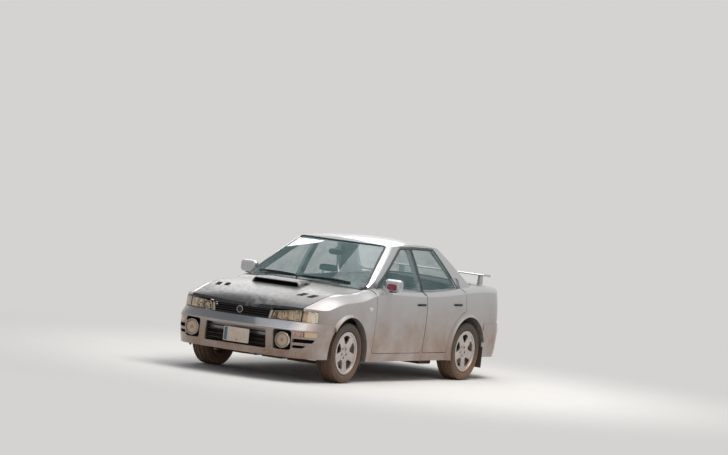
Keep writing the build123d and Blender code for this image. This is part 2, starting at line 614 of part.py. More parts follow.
def front_bumper(shell):
    """Front bumper with the wide intake, two fog lamp recesses and side slots."""
    bumper = shell & box(FRONT_BUMPER_REAR_X, 2300, -900, 900, 200, 700)
    bumper = bumper - ARCH_FRONT - mirrored(ARCH_FRONT)
    bumper = bumper - front_prism([(-358, 308), (358, 308), (346, 500), (-346, 500)], 2000, 2300, radius=14)
    recess = front_prism([(434, 316), (612, 316), (612, 512), (422, 512)], 1900, 2300, radius=26)
    bumper = bumper - recess - mirrored(recess)
    for outline in [*BUMPER_SLOTS, turn_lamp_outline(0)]:
        slot = front_prism(outline, 1700, 2300, radius=7)
        bumper = bumper - slot - mirrored(slot)
    return largest(bumper)


def rear_bumper(shell):
    """Rear bumper with a tail pipe notch."""
    arch = tube_y(REAR_AXLE_X, 300, 900, TYRE_RADIUS, ARCH_RADIUS)
    bumper = shell & box(REAR_CLEAR_X, REAR_BUMPER_FRONT_X, -900, 900, 200, 700)
    notch = tube_x(REAR_CLEAR_X, REAR_AXLE_X - 790, *TAIL_PIPE, TAIL_PIPE_RADIUS + 10)
    return largest(bumper - arch - mirrored(arch) - notch)


def grilles():
    """Upper grille between the headlamps and lower bars across the bumper intake."""
    face = plan_loft(BODY_ROWS, 8) - plan_loft(BODY_ROWS, 40)
    half, low = 336, BUMPER_TOP_Z + FIT
    upper = front_prism([(-half, low), (half, low), (half + 20, 684), (-half - 20, 684)], 1900, 2200) & face
    for z in (616, 638, 660):
        upper = upper - box(1900, 2200, -half + 8, half - 8, z, z + 13)
    bars = [box(2088, 2104, -352, 352, z, z + 9) for z in (340, 380, 420, 460)]
    posts = [box(2085, 2104.7, y, y + 8, 309, 499) for y in (-352, 344)]
    return largest(upper), fuse_all([*bars, *posts])


def fog_lamp():
    """Round fog lamp on a bracket behind the bumper recess."""
    return tube_x(2040, 2118, 527, 411, 82) + box(2030, 2049.7, 428 + FIT, 560, 340, 500)


def headlamp():
    """Headlamp with its corner lamp, closed housing."""
    return largest(lamp_block(0) & (BODY - plan_loft(BODY_ROWS, 95)))


def floor_pan():
    """Floor with its tunnel, kick-up and boot floor."""
    t = 16
    step, kick, end = REAR_AXLE_X + 310, REAR_AXLE_X + 210, REAR_AXLE_X - 870
    under = [(932, FLOOR_Z), (step, FLOOR_Z), (kick, BOOT_FLOOR_Z), (end, BOOT_FLOOR_Z)]
    shift = (0, 10, 10, 0)
    profile = under + [(x + dx, z + t) for (x, z), dx in reversed(list(zip(under, shift)))]
    sheet = side_prism(profile, -660, 660)
    sheet = sheet & plan_loft(BODY_ROWS, WALL + FIT)
    tubs = box(REAR_AXLE_X - 490, REAR_AXLE_X + 510, TUB_INNER_Y - 14 - FIT, 900, FLOOR_Z - 10, 800)
    tunnel = tube_x(kick, 932, 0, TUNNEL_Z, TUNNEL_RADIUS) & box(kick, 1000, -200, 200, FLOOR_Z, 500)
    bore = tube_x(kick - 1, 1000, 0, TUNNEL_Z, TUNNEL_RADIUS - 14)
    towers = tube_z(REAR_STRUT[0], REAR_STRUT[1], 300, 500, 82 + FIT)
    return largest(sheet + tunnel - bore - tubs - mirrored(tubs) - towers - mirrored(towers))


def along_steering(z):
    """Point of the left steering axis at one height."""
    (x0, y0, z0), (x1, y1, z1) = BALL_JOINT, STRUT_TOP
    t = (z - z0) / (z1 - z0)
    return (x0 + t * (x1 - x0), y0 + t * (y1 - y0), z)


def front_apron():
    """Left chassis rail, apron, strut tower and fender rail."""
    x, y, z = STRUT_TOP
    tower = tube_z(x, y, 640, z - 12, 92) & box(1000, 1600, 428, 700, 600, 900)
    left = box(921, RAIL_FRONT_X - FIT, 372, 428, 440, 540) + box(1120, 1480, 428, 440, 440, 840) + tower
    left = left - tube_z(x, y, 600, z - 24, 80) - tube_z(x, y, 800, 900, 18)
    near, far = bonnet_edge(GAP + 4, 932), bonnet_edge(GAP + 4, 1990)
    strip = plan_prism([(932, near), (1990, far), (1990, far + 34), (932, near + 34)], 500, 1000)
    rail = (deck(SKIN + FIT) - deck(58)) & strip & plan_loft(BODY_ROWS, SKIN + FIT + 1)
    left = left + rail + box(1270, 1330, 600, 690, 800, 845) + box(921, 940, 372, COWL_Y, 440, 540)
    return largest(left - lamp_block(GAP))


def front_structure():
    """Radiator support with the lamp panels, and the bumper beam on two stubs."""
    rear, front = RAIL_FRONT_X, RAIL_FRONT_X + 25
    frame = box(rear, front, -430, 430, 270, 590) - box(rear - 1, front + 1, -400, 400, 300, 555)
    panel = box(rear, front, 372, 500, 540, BUMPER_TOP_Z) - lamp_block(GAP)
    x0, x1, y1, z0, z1 = BEAM
    left = panel + box(rear, x0 + 1, 372, 428, 440, 540)
    beam = box(x0, x1, -y1, y1, z0, z1) - tube_x(x0 - 1, x1 + 1, *TOW_THREAD, TOW_THREAD_RADIUS)
    return largest(left + mirrored(left) + frame + beam)


def steering_wheel():
    """Three-spoke steering wheel on a short column."""
    spoke = Pos(STEERING_RIM / 2, 0, 2) * Box(STEERING_RIM - 10, 34, 12)
    spokes = [Rot(0, 0, angle) * spoke for angle in (0, 180, 270)]
    pieces = [Torus(STEERING_RIM, 15), Pos(0, 0, 4) * Cylinder(48, 34), Pos(0, 0, 90) * Cylinder(20, 170)]
    plane = Plane(origin=STEERING_HUB, x_dir=(0, 1, 0), z_dir=Vector(*STEERING_FOOT) - Vector(*STEERING_HUB))
    return plane * fuse_all([*pieces, *spokes])


def dashboard():
    """Dashboard with an instrument hood, and the column's socket."""
    outline = [(900, 925), (640, 925), (575, 880), (560, 790), (640, 700)]
    outline += [(700, 560), (760, 560), (780, 700), (900, 700)]
    dash = side_prism(outline, -COWL_Y, COWL_Y, radius=12)
    hood = side_prism([(700, 880), (575, 870), (565, 945), (700, 935)], 230, 490, radius=10)
    dash = (dash + hood) & plan_loft(BODY_ROWS, WALL + GAP) & deck(DECK_SKIN + FIT)
    return largest(dash - rod(STEERING_HUB, STEERING_FOOT, 20 + FIT))


def front_seat():
    """Bucket seat: cushion, winged back and head restraint on a base."""
    side = [(420, 330), (430, 440), (380, 470), (-10, 425), (-60, 500), (-190, 990), (-215, 1095), (-275, 1090)]
    side += [(-262, 980), (-150, 480), (-90, 330)]
    seat = side_prism(side, -235, 235, radius=14)
    head = box(-400, 0, 130, 400, 985, 1200) + box(-400, 0, -400, -130, 985, 1200)
    base = box(-60, 380, -200, 200, FLOOR_Z + 16 + FIT, 332)
    wing = [(400, 440), (360, 520), (60, 500), (-20, 560), (-120, 900), (-190, 900), (-90, 430)]
    wing = side_prism(wing, 185, 235)
    return (seat - head) + base + wing + mirrored(wing)


def rear_bench():
    """Rear bench across the car."""
    side = [(740, FLOOR_Z + 17), (770, 470), (730, 492), (350, 455), (305, 500), (135, 955), (70, 950)]
    side += [(225, BOOT_FLOOR_Z + 17), (225, 425), (250, FLOOR_Z + 150), (330, FLOOR_Z + 17)]
    side = [(REAR_AXLE_X + x, z) for x, z in side]
    room = box(REAR_AXLE_X - 490, REAR_AXLE_X + 510, TUB_INNER_Y - 14 - GAP, 900, 0, 700)
    bench = side_prism(side, -640, 640) & plan_loft(BODY_ROWS, WALL + GAP)
    return largest(bench - room - mirrored(room) - tube_x(REAR_AXLE_X - 790, 0, 0, TUNNEL_Z, TUNNEL_RADIUS + 1))


def engine():
    """Engine as one block."""
    x0, x1, half, z0, z1 = ENGINE
    right = [(half, z0 + 90), (half, z1 - 200), (200, z1)]
    outline = [(-210, z0), (210, z0), *right, *[(-y, z) for y, z in reversed(right)]]
    return front_prism(outline, x0, x1, radius=18)


def driveline():
    """Gearbox, propshaft, final drive and half shafts."""
    inner = 640 - FIT
    pieces = [
        tube_x(960, ENGINE[0] - FIT, 0, 320, 90),
        tube_x(REAR_AXLE_X + 100, 961, 0, 300, 32),
        box(REAR_AXLE_X - 90, REAR_AXLE_X + 110, -110, 110, TYRE_RADIUS - 90, TYRE_RADIUS + 75),
        tube_y(REAR_AXLE_X, -inner, inner, TYRE_RADIUS, 15),
        tube_y(FRONT_AXLE_X, -545, 545, TYRE_RADIUS, 14),
        tube_y(FRONT_AXLE_X, -545, -480, TYRE_RADIUS, 36),
        tube_y(FRONT_AXLE_X, 480, 545, TYRE_RADIUS, 36),
    ]
    return fuse_all(pieces)


def radiator():
    """Radiator core with end tanks."""
    tanks = [box(1925, 1974.7, y, y + 30, 300.3, 559) for y in (-352, 322)]
    return fuse_all([box(1935, 1974.7, -330, 330, 300.3, 559), *tanks])


def exhaust():
    """Exhaust from the engine to the tail silencer."""
    silencer = REAR_AXLE_X - 670
    tail_pipe = tube_x(silencer - 278, silencer - 120, *TAIL_PIPE, TAIL_PIPE_RADIUS)
    pieces = [
        tube_x(REAR_AXLE_X - 540, 1525, -150, 196, 25),
        tube_z(1500, -150, 185, ENGINE[3] - FIT, 25),
        Pos(silencer, -330, 260) * Box(300, 420, 130),
        tail_pipe - tube_x(silencer - 280, silencer - 160, *TAIL_PIPE, TAIL_PIPE_RADIUS - 5),
        tube_z(silencer, -330, 320, BOOT_FLOOR_Z - FIT, 8),
    ]
    return fuse_all(pieces)


def fuel_tank():
    """Fuel tank under the rear bench."""
    front, rear = REAR_AXLE_X + 590, REAR_AXLE_X + 330
    outline = [(front, 150), (front, FLOOR_Z - FIT), (rear, FLOOR_Z - FIT), (rear, 150)]
    return side_prism(outline, 150, 600, radius=20)


def front_subframe():
    """Cross member, engine mounts, steering rack and lower arms."""
    low = BALL_JOINT[2] - 30
    pieces = [
        box(1270, 1350, 372, 428, 210, 440 - FIT),
        box(1270, 1350, 300, 428, 205, 262),
        box(1370, 1640, 200, 250, 240, ENGINE[3] - FIT),
        box(1240, 1380, 110, 330, low, 262),
        plan_prism([(1250, 315), (1400, 315), (1335, 655), (1285, 655)], low, low + 20, radius=12),
        rod(along_steering(low), along_steering(BALL_JOINT[2] - FIT), BALL_RADIUS),
    ]
    left = fuse_all(pieces)
    exhaust_notch = box(1200, 1400, 115, 185, 150, 236)
    left = left - exhaust_notch - tube_y(FRONT_AXLE_X, 290, 440, TYRE_RADIUS, 14 + GAP)
    centre = box(1240, 1380, -116, 116, low, 222) + box(1280, 1340, -40, 40, 221, 230 - FIT)
    return centre + left + mirrored(left) + tube_y(1448, -330, 330, 270, 22)


def caliper(x):
    """Brake caliper that straddles the disc, on a bracket from the hub."""
    z = TYRE_RADIUS
    ring = tube_y(x, 688, 768, z, DISC_RADIUS + 22) - tube_y(x, 600, 800, z, DISC_RADIUS - 44)
    reach = x - DISC_RADIUS - 50
    wedge = side_prism([(x - 60, z - 40), (reach, z - 90), (reach, z + 90), (x - 60, z + 40)], 680, 780)
    slot = tube_y(x, DISC_INNER - GAP, DISC_INNER + DISC_WIDTH + GAP, z, DISC_RADIUS + GAP)
    reach = x - DISC_RADIUS + 30
    bracket = side_prism([(x - 20, z - 25), (reach, z - 45), (reach, z + 45), (x - 20, z + 25)], 688, 706)
    return ((ring & wedge) - slot) + bracket


def upright(x):
    """Hub carrier with its strut clamp and brake caliper, for either axle."""
    z = TYRE_RADIUS
    half = HUB_RADIUS + 7
    low, high = z - 90, z + 115
    outline = [(x - 30, low), (x + 30, low), (x + half, z), (x + 28, high), (x - 32, high), (x - half, z)]
    pieces = [
        tube_y(x, WHEEL_Y - 70, DISC_INNER - FIT, z, HUB_RADIUS),
        side_prism(outline, 640, 672, radius=8),
        box(x - 34, x + 22, 575, 672, z + 80, z + 120),
        caliper(x),
    ]
    return fuse_all(pieces)


def knuckle():
    """Left front knuckle with hub, strut, spring, steering arm and brake caliper."""
    x, ball, arm = FRONT_AXLE_X, BALL_JOINT[2], TYRE_RADIUS - 55
    pieces = [
        upright(x),
        rod(along_steering(ball), along_steering(ball + 45), BALL_RADIUS),
        rod((x - 6, 585, TYRE_RADIUS + 90), (1297.6, 540, 800), STRUT_RADIUS),
        rod((1297.6, 540, 799), STRUT_TOP, 11),
        rod((1299, 552, 690), (1297.4, 539, 822), 58),
        rod((x + 20, 655, arm), (x + 115, 615, arm), 12),
    ]
    return fuse_all(pieces)


def rear_suspension():
    """Rear hubs, struts, links and cross member."""
    x, link = REAR_AXLE_X, TYRE_RADIUS - 55
    sx, sy, sz = REAR_STRUT
    pieces = [
        upright(x),
        rod((x - 8, 588, TYRE_RADIUS + 90), (sx, 562, 740), STRUT_RADIUS),
        rod((sx, 562, 739), (sx, sy, sz + 12), 12),
        rod((x - 8, 570, 620), (sx, 562, 770), 56),
        rod((x - 121, 150, link), (x - 15, 656, link), LINK_RADIUS),
        rod((x + 121, 150, link), (x + 15, 656, link), LINK_RADIUS),
    ]
    left = fuse_all(pieces)
    member = box(x - 130, x + 130, -200, 200, 386, BOOT_FLOOR_Z - FIT)
    for near, far in ((-130, -112), (112, 130)):
        member = member + box(x + near, x + far, -190, 190, link - 22, 390)
    return member - tube_x(x + 100, x + 140, 0, 300, 40) + left + mirrored(left)


def wheel_blank(points):
    """Ring or disc turned about the wheel's axis from (offset, radius) corners."""
    return revolve(closed_face([(0, y, r) for y, r in points]), Axis.Y, 360)


def alloy_wheel():
    """Five wide spokes that flare to the rim, with rounded windows between them, outer side at +Y."""
    w = RIM_WIDTH / 2
    seat, lip = RIM_RADIUS - 3, RIM_RADIUS + 12
    well, bore = seat - 20, seat - 29
    barrel = [(-w, lip), (-w + 9, lip), (-w + 11, seat), (-56, seat), (-40, seat - 4), (-22, well)]
    barrel += [(24, well), (42, seat - 4), (56, seat), (w - 11, seat), (w - 9, lip), (w, lip)]
    barrel += [(w, seat - 3), (72, seat - 9), (44, seat - 13), (28, bore), (-26, bore)]
    barrel += [(-44, seat - 13), (-w + 8, seat - 8), (-w, seat - 3)]
    face = [(HUB_FACE, 28), (HUB_FACE, 72), (56, 84), (60, 110), (66, seat - 6), (w - 8, seat - 3)]
    face += [(w - 10, well), (76, 120), (72, 80), (62, 62), (60, 28)]
    disc = wheel_blank(face)
    window = []
    for angle, radius in [(-9, 92), (9, 92), (22, seat - 26), (0, seat - 19), (-22, seat - 26)]:
        a = radians(90 + angle)
        window.append((radius * cos(a), radius * sin(a)))
    window = side_prism(window, 0, 120, radius=12)
    for k in range(SPOKES):
        disc = disc - Rot(0, 360 / SPOKES * k, 0) * window
        disc = disc - Rot(0, 360 / SPOKES * (k + 0.5), 0) * tube_y(0, 30, 80, 50, 11)
    return wheel_blank(barrel) + disc


def tyre():
    """Hollow tyre seated on the rim."""
    half, out, bead = TYRE_WIDTH / 2, TYRE_RADIUS, RIM_RADIUS - 3 + FIT
    wide, shoulder, crown = [bead + (out - bead) * share for share in (0.53, 0.78, 0.86)]
    outer = [(-60, bead), (-75, bead), (-77, bead + 14), (-half, wide), (-half + 4, shoulder)]
    outer += [(-half + 22, out - 3), (-40, out)]
    inner = [(-62, bead + 25), (-82, wide + 3), (-76, shoulder), (-50, crown)]
    profile = outer + [(-y, r) for y, r in reversed(outer)]
    return wheel_blank(profile + [(-y, r) for y, r in inner] + list(reversed(inner)))


def brake_disc():
    """Brake disc and its hat, outer side at +Y."""
    face, hat = DISC_WIDTH - 5, HUB_FACE - FIT
    return wheel_blank([(-5, 30), (-5, DISC_RADIUS), (face, DISC_RADIUS), (face, 78), (hat, 78), (hat, 30)])


def mirror_housing():
    """Left door mirror on its foot."""
    shell = Pos(546, 861, 998) * fillet(Box(90, 192, 124).edges(), 38)
    foot = side_prism([(600, 900), (500, 900), (520, 985), (580, 985)], 752, 830)
    return shell + (foot - deck(-FIT) - plan_loft(GLASSHOUSE_ROWS, -FIT))


def wipers():
    """Two wipers parked at the foot of the windscreen."""
    parts = []
    for x, y, top, inner, outer in WIPERS:
        stations = (inner, (inner + outer) / 2, outer)
        ends = [(glass_front(at, WIPER_Z) + WIPER_LIFT, at, WIPER_Z) for at in stations]
        post = tube_z(x, y, 900, top, 6) - deck(-FIT)
        blade = rod(ends[0], ends[1], 6) + rod(ends[1], ends[2], 6) + Pos(*ends[1]) * Sphere(7)
        parts.append(blade + rod((x, y, top - 4), ends[1], 4) + post)
    return parts


def glass_front(y, z):
    """Station of the windscreen's outer face, near its foot."""
    (z0, x0, _, _, bow, *_), (z1, x1, *_) = GLASSHOUSE_ROWS[:2]
    return x0 + (x1 - x0) * (z - z0) / (z1 - z0) - y**2 / (2 * bow)


def mud_flaps():
    """Left mud flaps: on the end of the sill and on the rear bumper's arch edge."""
    front = box(932 + FIT, 938, 660, 774, 130, 330)
    rear_x = REAR_AXLE_X - ARCH_RADIUS + 6
    return front, box(rear_x + FIT, rear_x + 6, 660, 838, 130, 350)


def main():
    """Every piece of the car."""
    shell = bumper_shell()
    slot = glass_slot()
    write_pair("body_side", body_side())
    fender, lamp, tail, fog = front_fender(), headlamp(), tail_lamp(), fog_lamp()
    write("front_fenders", fender, mirrored(fender))
    for name, (edges, glass, _) in zip(("front_door", "rear_door"), DOORS):
        write_pair(name, door(edges, slot))
        write_pair(f"{name}_glass", door_glass(glass))
    write_pair("door_mirror", mirror_housing())
    write("bonnet", bonnet())
    write("boot_lid", boot_lid())
    write("boot_spoiler", spoiler())
    write("bulkhead", bulkhead())
    write("roof_panel", roof_panel())
    write("windscreen", screen(SCREEN, *FRONT_ZONE))
    write("rear_window", screen(REAR_SCREEN, *REAR_ZONE))
    write("rear_panel", rear_panel())
    write("parcel_shelf", parcel_shelf())
    write("floor_pan", floor_pan())
    write("front_structure", front_structure())
    write_pair("front_apron", front_apron())
    write("front_bumper", front_bumper(shell))
    write("rear_bumper", rear_bumper(shell))
    write("grilles", *grilles())
    write("headlamps", lamp, mirrored(lamp))
    write("fog_lamps", fog, mirrored(fog))
    lamp = turn_lamp()
    write("turn_lamps", lamp, mirrored(lamp))
    write("tail_lamps", tail, mirrored(tail))
    write("dashboard", dashboard())
    write("steering_wheel", steering_wheel())
    seat = front_seat()
    write("front_seats", seat.moved(Location((0, SEAT_Y, 0))), seat.moved(Location((0, -SEAT_Y, 0))))
    write("rear_bench", rear_bench())
    write("engine", engine())
    write("radiator", radiator())
    write("driveline", driveline())
    write("exhaust", exhaust())
    write("fuel_tank", fuel_tank())
    write("front_subframe", front_subframe())
    write("rear_suspension", rear_suspension())
    write_pair("knuckle", knuckle())
    wheel_parts = (("wheel", alloy_wheel()), ("tyre", tyre()), ("brake_disc", brake_disc()))
    for axle, x in (("front", FRONT_AXLE_X), ("rear", REAR_AXLE_X)):
        for name, piece in wheel_parts:
            write_pair(f"{name}_{axle}", piece.moved(Location((x, WHEEL_Y, TYRE_RADIUS))))
    write("mud_flaps", *mud_flaps(), *[mirrored(flap) for flap in mud_flaps()])
    write("wipers", *wipers())


main()
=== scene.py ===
"""Looks of the rally saloon: finishes, glass, lamps, trims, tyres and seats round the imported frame.

Metres, in the frame of the CAD model: +X forward, +Y the car's left, +Z up.
"""

from math import copysign, cos, exp, pi, radians, sin

import bmesh
import bpy
from mathutils import Matrix, Vector
from mathutils.bvhtree import BVHTree


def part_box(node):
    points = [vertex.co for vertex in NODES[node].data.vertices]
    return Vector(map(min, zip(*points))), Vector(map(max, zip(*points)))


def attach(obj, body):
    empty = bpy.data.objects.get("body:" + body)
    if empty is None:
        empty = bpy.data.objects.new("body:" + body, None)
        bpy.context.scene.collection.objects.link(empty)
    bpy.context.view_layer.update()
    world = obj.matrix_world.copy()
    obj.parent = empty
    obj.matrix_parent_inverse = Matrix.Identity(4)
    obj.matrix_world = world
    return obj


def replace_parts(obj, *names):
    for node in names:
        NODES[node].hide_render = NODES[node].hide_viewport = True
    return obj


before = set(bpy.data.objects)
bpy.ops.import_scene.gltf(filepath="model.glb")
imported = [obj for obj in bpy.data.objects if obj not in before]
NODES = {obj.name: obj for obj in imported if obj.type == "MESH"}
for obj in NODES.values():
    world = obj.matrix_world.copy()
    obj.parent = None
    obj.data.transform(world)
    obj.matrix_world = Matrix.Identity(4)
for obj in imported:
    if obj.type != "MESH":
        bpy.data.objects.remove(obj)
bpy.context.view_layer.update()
SIDES = (("left", 1), ("right", -1))
AHEAD, BACK = Vector((1, 0, 0)), Vector((-1, 0, 0))
UP, DOWN = Vector((0, 0, 1)), Vector((0, 0, -1))
ACROSS = Vector((0, 1, 0))
CORNERS = ((1, 1), (-1, 1), (-1, -1), (1, -1))

# Camera, as fitted to the photograph with the car standing level
CAMERA_AZIMUTH = 120.0284
CAMERA_ELEVATION = 3.6214
CAMERA_ROLL = 0.1068
CAMERA_DISTANCE = 47.872
CAMERA_TARGET = Vector((1.0, 0.0, 0.6))
PHOTO_WIDTH = 728
PHOTO_HEIGHT = 455
FOCAL_PIXELS = 4703.3
TARGET_PIXEL = (294.941, 314.07)
SENSOR_WIDTH = 36.0

# Stage
FLOOR_HALF = 60.0
FADE_START, FADE_END = 2.6, 5.6
WORLD_LIGHT = 0.36

# Colours, linear
SILVER = (0.43, 0.44, 0.455)
DULL_SILVER = (0.2, 0.2, 0.2)
# Dark slate painted on the front bumper's upper face as a sky reflection
PAINTED_SKY_SLATE = (0.045, 0.066, 0.085)
# Black of the bonnet's film, also used for painted shade on the bonnet
FILM_AND_SHADE_BLACK = (0.018, 0.019, 0.022)
DUST = (0.29, 0.155, 0.085)
BLACK = (0.012, 0.012, 0.013)
BACKGROUND = (0.66, 0.65, 0.635)
SKY = (0.85, 0.92, 1.0)
RUBBER = (0.022, 0.021, 0.02)

# Wheels
WHEEL_X = {"front": 1.31, "rear": -1.21}
WHEEL_Y = 0.73
WHEEL_Z = 0.305
TYRE_RADIUS = 0.305
TYRE_HALF_WIDTH = 0.1025
BEAD_RADIUS = 0.2006
TREAD_PITCHES = 62
TREAD_GROOVES = (0.069, 0.044, 0.0375, 0.008)
LUG_CIRCLE_RADIUS = 0.05
VALVE_RADIUS = 0.168
VALVE_ANGLE = 0.63

# Lamps, grille and plate
HEADLAMP_Z = 0.648
HEADLAMP_FRONT = 2.062
HEADLAMP_BOWLS = ((0.44, 0.04), (0.56, 0.04), (0.712, 0.034))
FOG_CENTRE = Vector((2.04, 0.527, 0.411))
GRILLE_DISC = (2.0795, -0.012, 0.652)
PLATE_PLACE = Vector((2.162, 0.025, 0.4))
PLATE_HALF_WIDTH, PLATE_HALF_HEIGHT = 0.148, 0.072
PLATE_THICKNESS = 0.004
INTAKE_X = 2.035
INTAKE_HALF_WIDTH = 0.345
INTAKE_LOW, INTAKE_HIGH = 0.318, 0.492

# Doors, mirrors and bonnet
HANDLE_X = {"front": -0.13, "rear": -0.93}
HANDLE_Z = 0.795
MIRROR_Y, MIRROR_Z = 0.861, 0.998
MIRROR_FOOT = ((0.56, 0.765, 0.926), (0.552, 0.82, 0.93), (0.548, 0.9, 0.937))
VENT_CORNERS = ((1.715, 0.392), (1.7, 0.458), (1.585, 0.49), (1.6, 0.425))
VENT_STEPS = ((0, 0), (0.015, 0.111))
SCOOP_STATIONS = (1.446, 1.4, 1.35, 1.314)
REPEATER_X, REPEATER_Z = 0.925, 0.745
BUMPER_STUDS = ((2.09, 0.45, 0.24), (2.074, 0.548, 0.24))

# Cabin
INSIDE_MIRROR = Vector((0.3, 0, 1.247))
DIAL_X, DIAL_Z = 0.5725, 0.895
DIAL_Y = (0.31, 0.41)
LEVER_FOOT = (0.33, 0, 0.399)
SEAT_Y = 0.37
SEAM_HALF = 0.006
PADDING_CAP = 0.016
CLOTH_FRAMES = 16
VOXEL = 0.01
PRESSURE = 4.0


def camera():
    """Camera with the photograph's view and framing."""
    azimuth, elevation = radians(CAMERA_AZIMUTH), radians(CAMERA_ELEVATION)
    back = Vector((sin(azimuth) * cos(elevation), -cos(azimuth) * cos(elevation), sin(elevation)))
    ahead = -back
    right = ahead.cross(UP).normalized()
    up = right.cross(ahead)
    c, s = cos(CAMERA_ROLL), sin(CAMERA_ROLL)
    right, up = c * right + s * up, c * up - s * right
    place = CAMERA_TARGET + back * CAMERA_DISTANCE
    shift_x = (TARGET_PIXEL[0] - PHOTO_WIDTH / 2) / FOCAL_PIXELS
    shift_y = -(TARGET_PIXEL[1] - PHOTO_HEIGHT / 2) / FOCAL_PIXELS
    ahead = (ahead - shift_x * right - shift_y * up).normalized()
    right = (right - right.dot(ahead) * ahead).normalized()
    up = right.cross(ahead)
    data = bpy.data.cameras.new("camera")
    data.sensor_width = SENSOR_WIDTH
    data.sensor_fit = "HORIZONTAL"
    data.lens = FOCAL_PIXELS / PHOTO_WIDTH * SENSOR_WIDTH
    data.clip_end = 500
    obj = add_object("camera", data)
    turn = Matrix((right, up, -ahead)).transposed().to_4x4()
    obj.matrix_world = Matrix.Translation(place) @ turn
    bpy.context.scene.camera = obj


def add_object(name, data):
    """A new object in the scene."""
    obj = bpy.data.objects.new(name, data)
    bpy.context.scene.collection.objects.link(obj)
    return obj


class Look:
    """Shader nodes of a new material, or of a world; an input is a value, a colour or another socket."""

    def __init__(self, name, world=None):
        self.owner = world or bpy.data.materials.new(name)
        self.owner.use_nodes = True
        self.tree = self.owner.node_tree
        self.shader = self.tree.nodes["Background" if world else "Principled BSDF"]

    def give(self, socket, value):
        """Links another socket to an input, or sets its value."""
        if isinstance(value, bpy.types.NodeSocket):
            self.tree.links.new(value, socket)
        else:
            socket.default_value = (*value, 1) if socket.type == "RGBA" else value

    def node(self, kind, inputs=None, **settings):
        """A new shader node with its settings and inputs."""
        made = self.tree.nodes.new("ShaderNode" + kind)
        for key, value in settings.items():
            setattr(made, key, value)
        for key, value in (inputs or {}).items():
            self.give(made.inputs[key], value)
        return made

    def set(self, **inputs):
        """Inputs of the main shader; an underscore stands for a space."""
        for key, value in inputs.items():
            self.give(self.shader.inputs[key.replace("_", " ")], value)

    def place(self):
        """Place in the car's own frame."""
        return self.node("TexCoord").outputs["Object"]

    def axis(self, letter):
        """One coordinate of the car's own frame."""
        return self.node("SeparateXYZ", {0: self.place()}).outputs[letter]

    def off_middle(self):
        """Distance from the car's middle plane."""
        return self.calc("ABSOLUTE", self.axis("Y"))

    def noise(self, scale, detail=4):
        """Noise from 0 to 1 at the given scale per metre."""
        return self.node("TexNoise", {"Vector": self.place(), "Scale": scale, "Detail": detail}).outputs[0]

    def ramp(self, value, low, high, to_low=0, to_high=1):
        """A value mapped from one range to another and clamped."""
        inputs = {"Value": value, "From Min": low, "From Max": high, "To Min": to_low, "To Max": to_high}
        return self.node("MapRange", inputs).outputs[0]

    def calc(self, operation, first, *others):
        """Arithmetic of values, from left to right."""
        for other in others or (0,):
            first = self.node("Math", {0: first, 1: other}, operation=operation).outputs[0]
        return first

    def times(self, *values):
        """Product of values."""
        return self.calc("MULTIPLY", *values)

    def add(self, *values):
        """Sum of values."""
        return self.calc("ADD", *values)

    def band(self, value, *edges):
        """1 between two soft edges, each given by its outer and inner value."""
        return self.times(self.ramp(value, *edges[:2]), self.ramp(value, *edges[2:]))

    def wave(self, value, rate):
        """Sine of a value times a rate."""
        return self.calc("SINE", self.times(value, rate))

    def blend(self, factor, a, b):
        """Mix of two colours."""
        return self.node("Mix", {0: factor, 6: a, 7: b}, data_type="RGBA").outputs[2]

    def bump(self, height, strength, distance=0.001):
        """Bump of the main shader's surface."""
        inputs = {"Height": height, "Strength": strength, "Distance": distance}
        self.set(Normal=self.node("Bump", inputs).outputs[0])

    def dust(self, top, depth, amount):
        """How dusty a point is: more towards the ground, broken up by noise."""
        low = self.calc("POWER", self.ramp(self.axis("Z"), top, top - depth), 1.2)
        broken = self.ramp(self.noise(3, 6), 0.3, 0.68, 0.45, 1)
        fine = self.ramp(self.noise(60, 5), 0.3, 0.7, 0.8, 1)
        return self.times(low, broken, fine, amount)

    def dusty(self, colour, rough, mask):
        """Colour and roughness of a finish with dust on it."""
        self.set(Base_Color=self.blend(mask, colour, DUST), Roughness=self.ramp(mask, 0, 1, rough, 0.85))

    def ribbed(self, ribs, strength, distance=0.001):
        """Glossy surface with upright ribs."""
        self.set(Coat_Weight=1)
        self.bump(self.wave(self.axis("Y"), ribs), strength, distance)

    def seen_directly(self):
        """1 for rays of the camera, of reflections and through glass."""
        rays = self.node("LightPath").outputs
        kinds = ("Is Camera Ray", "Is Transmission Ray", "Is Glossy Ray")
        return self.calc("MAXIMUM", *(rays[kind] for kind in kinds))


def shade(colour, factor):
    """A colour made lighter or darker."""
    return tuple(c * factor for c in colour)


# Materials


def silver_paint(name="silver", colour=SILVER, coat=1, top=1.02):
    """Metallic silver with flakes, dust low down and a painted sky reflection in dark slate on the front
    bumper's upper face.
    """
    look = Look(name)
    flakes = look.ramp(look.noise(900, 2), 0.35, 0.65, 0, 0.22)
    tone = look.blend(flakes, colour, shade(colour, 1.5))
    # Painted sky reflection: a dark slate band on the upward face of the front bumper, standing in for the
    # reflected sky
    slate = look.times(
        look.band(look.axis("Z"), 0.52, 0.528, 0.612, 0.598),
        look.ramp(look.axis("Y"), 0.76, 0.56),
        look.ramp(look.axis("X"), 1.92, 2.02, 0, 0.9),
    )
    tone = look.blend(slate, tone, PAINTED_SKY_SLATE)
    # Dust low down, thinned where the sky reflection is painted
    look.dusty(tone, 0.26, look.times(look.dust(top, 0.62, 1), look.ramp(slate, 0, 0.9, 1, 0.12)))
    look.set(Metallic=0.72, Coat_Weight=coat, Coat_Roughness=0.06)
    look.bump(look.noise(220, 3), 0.03)
    return look


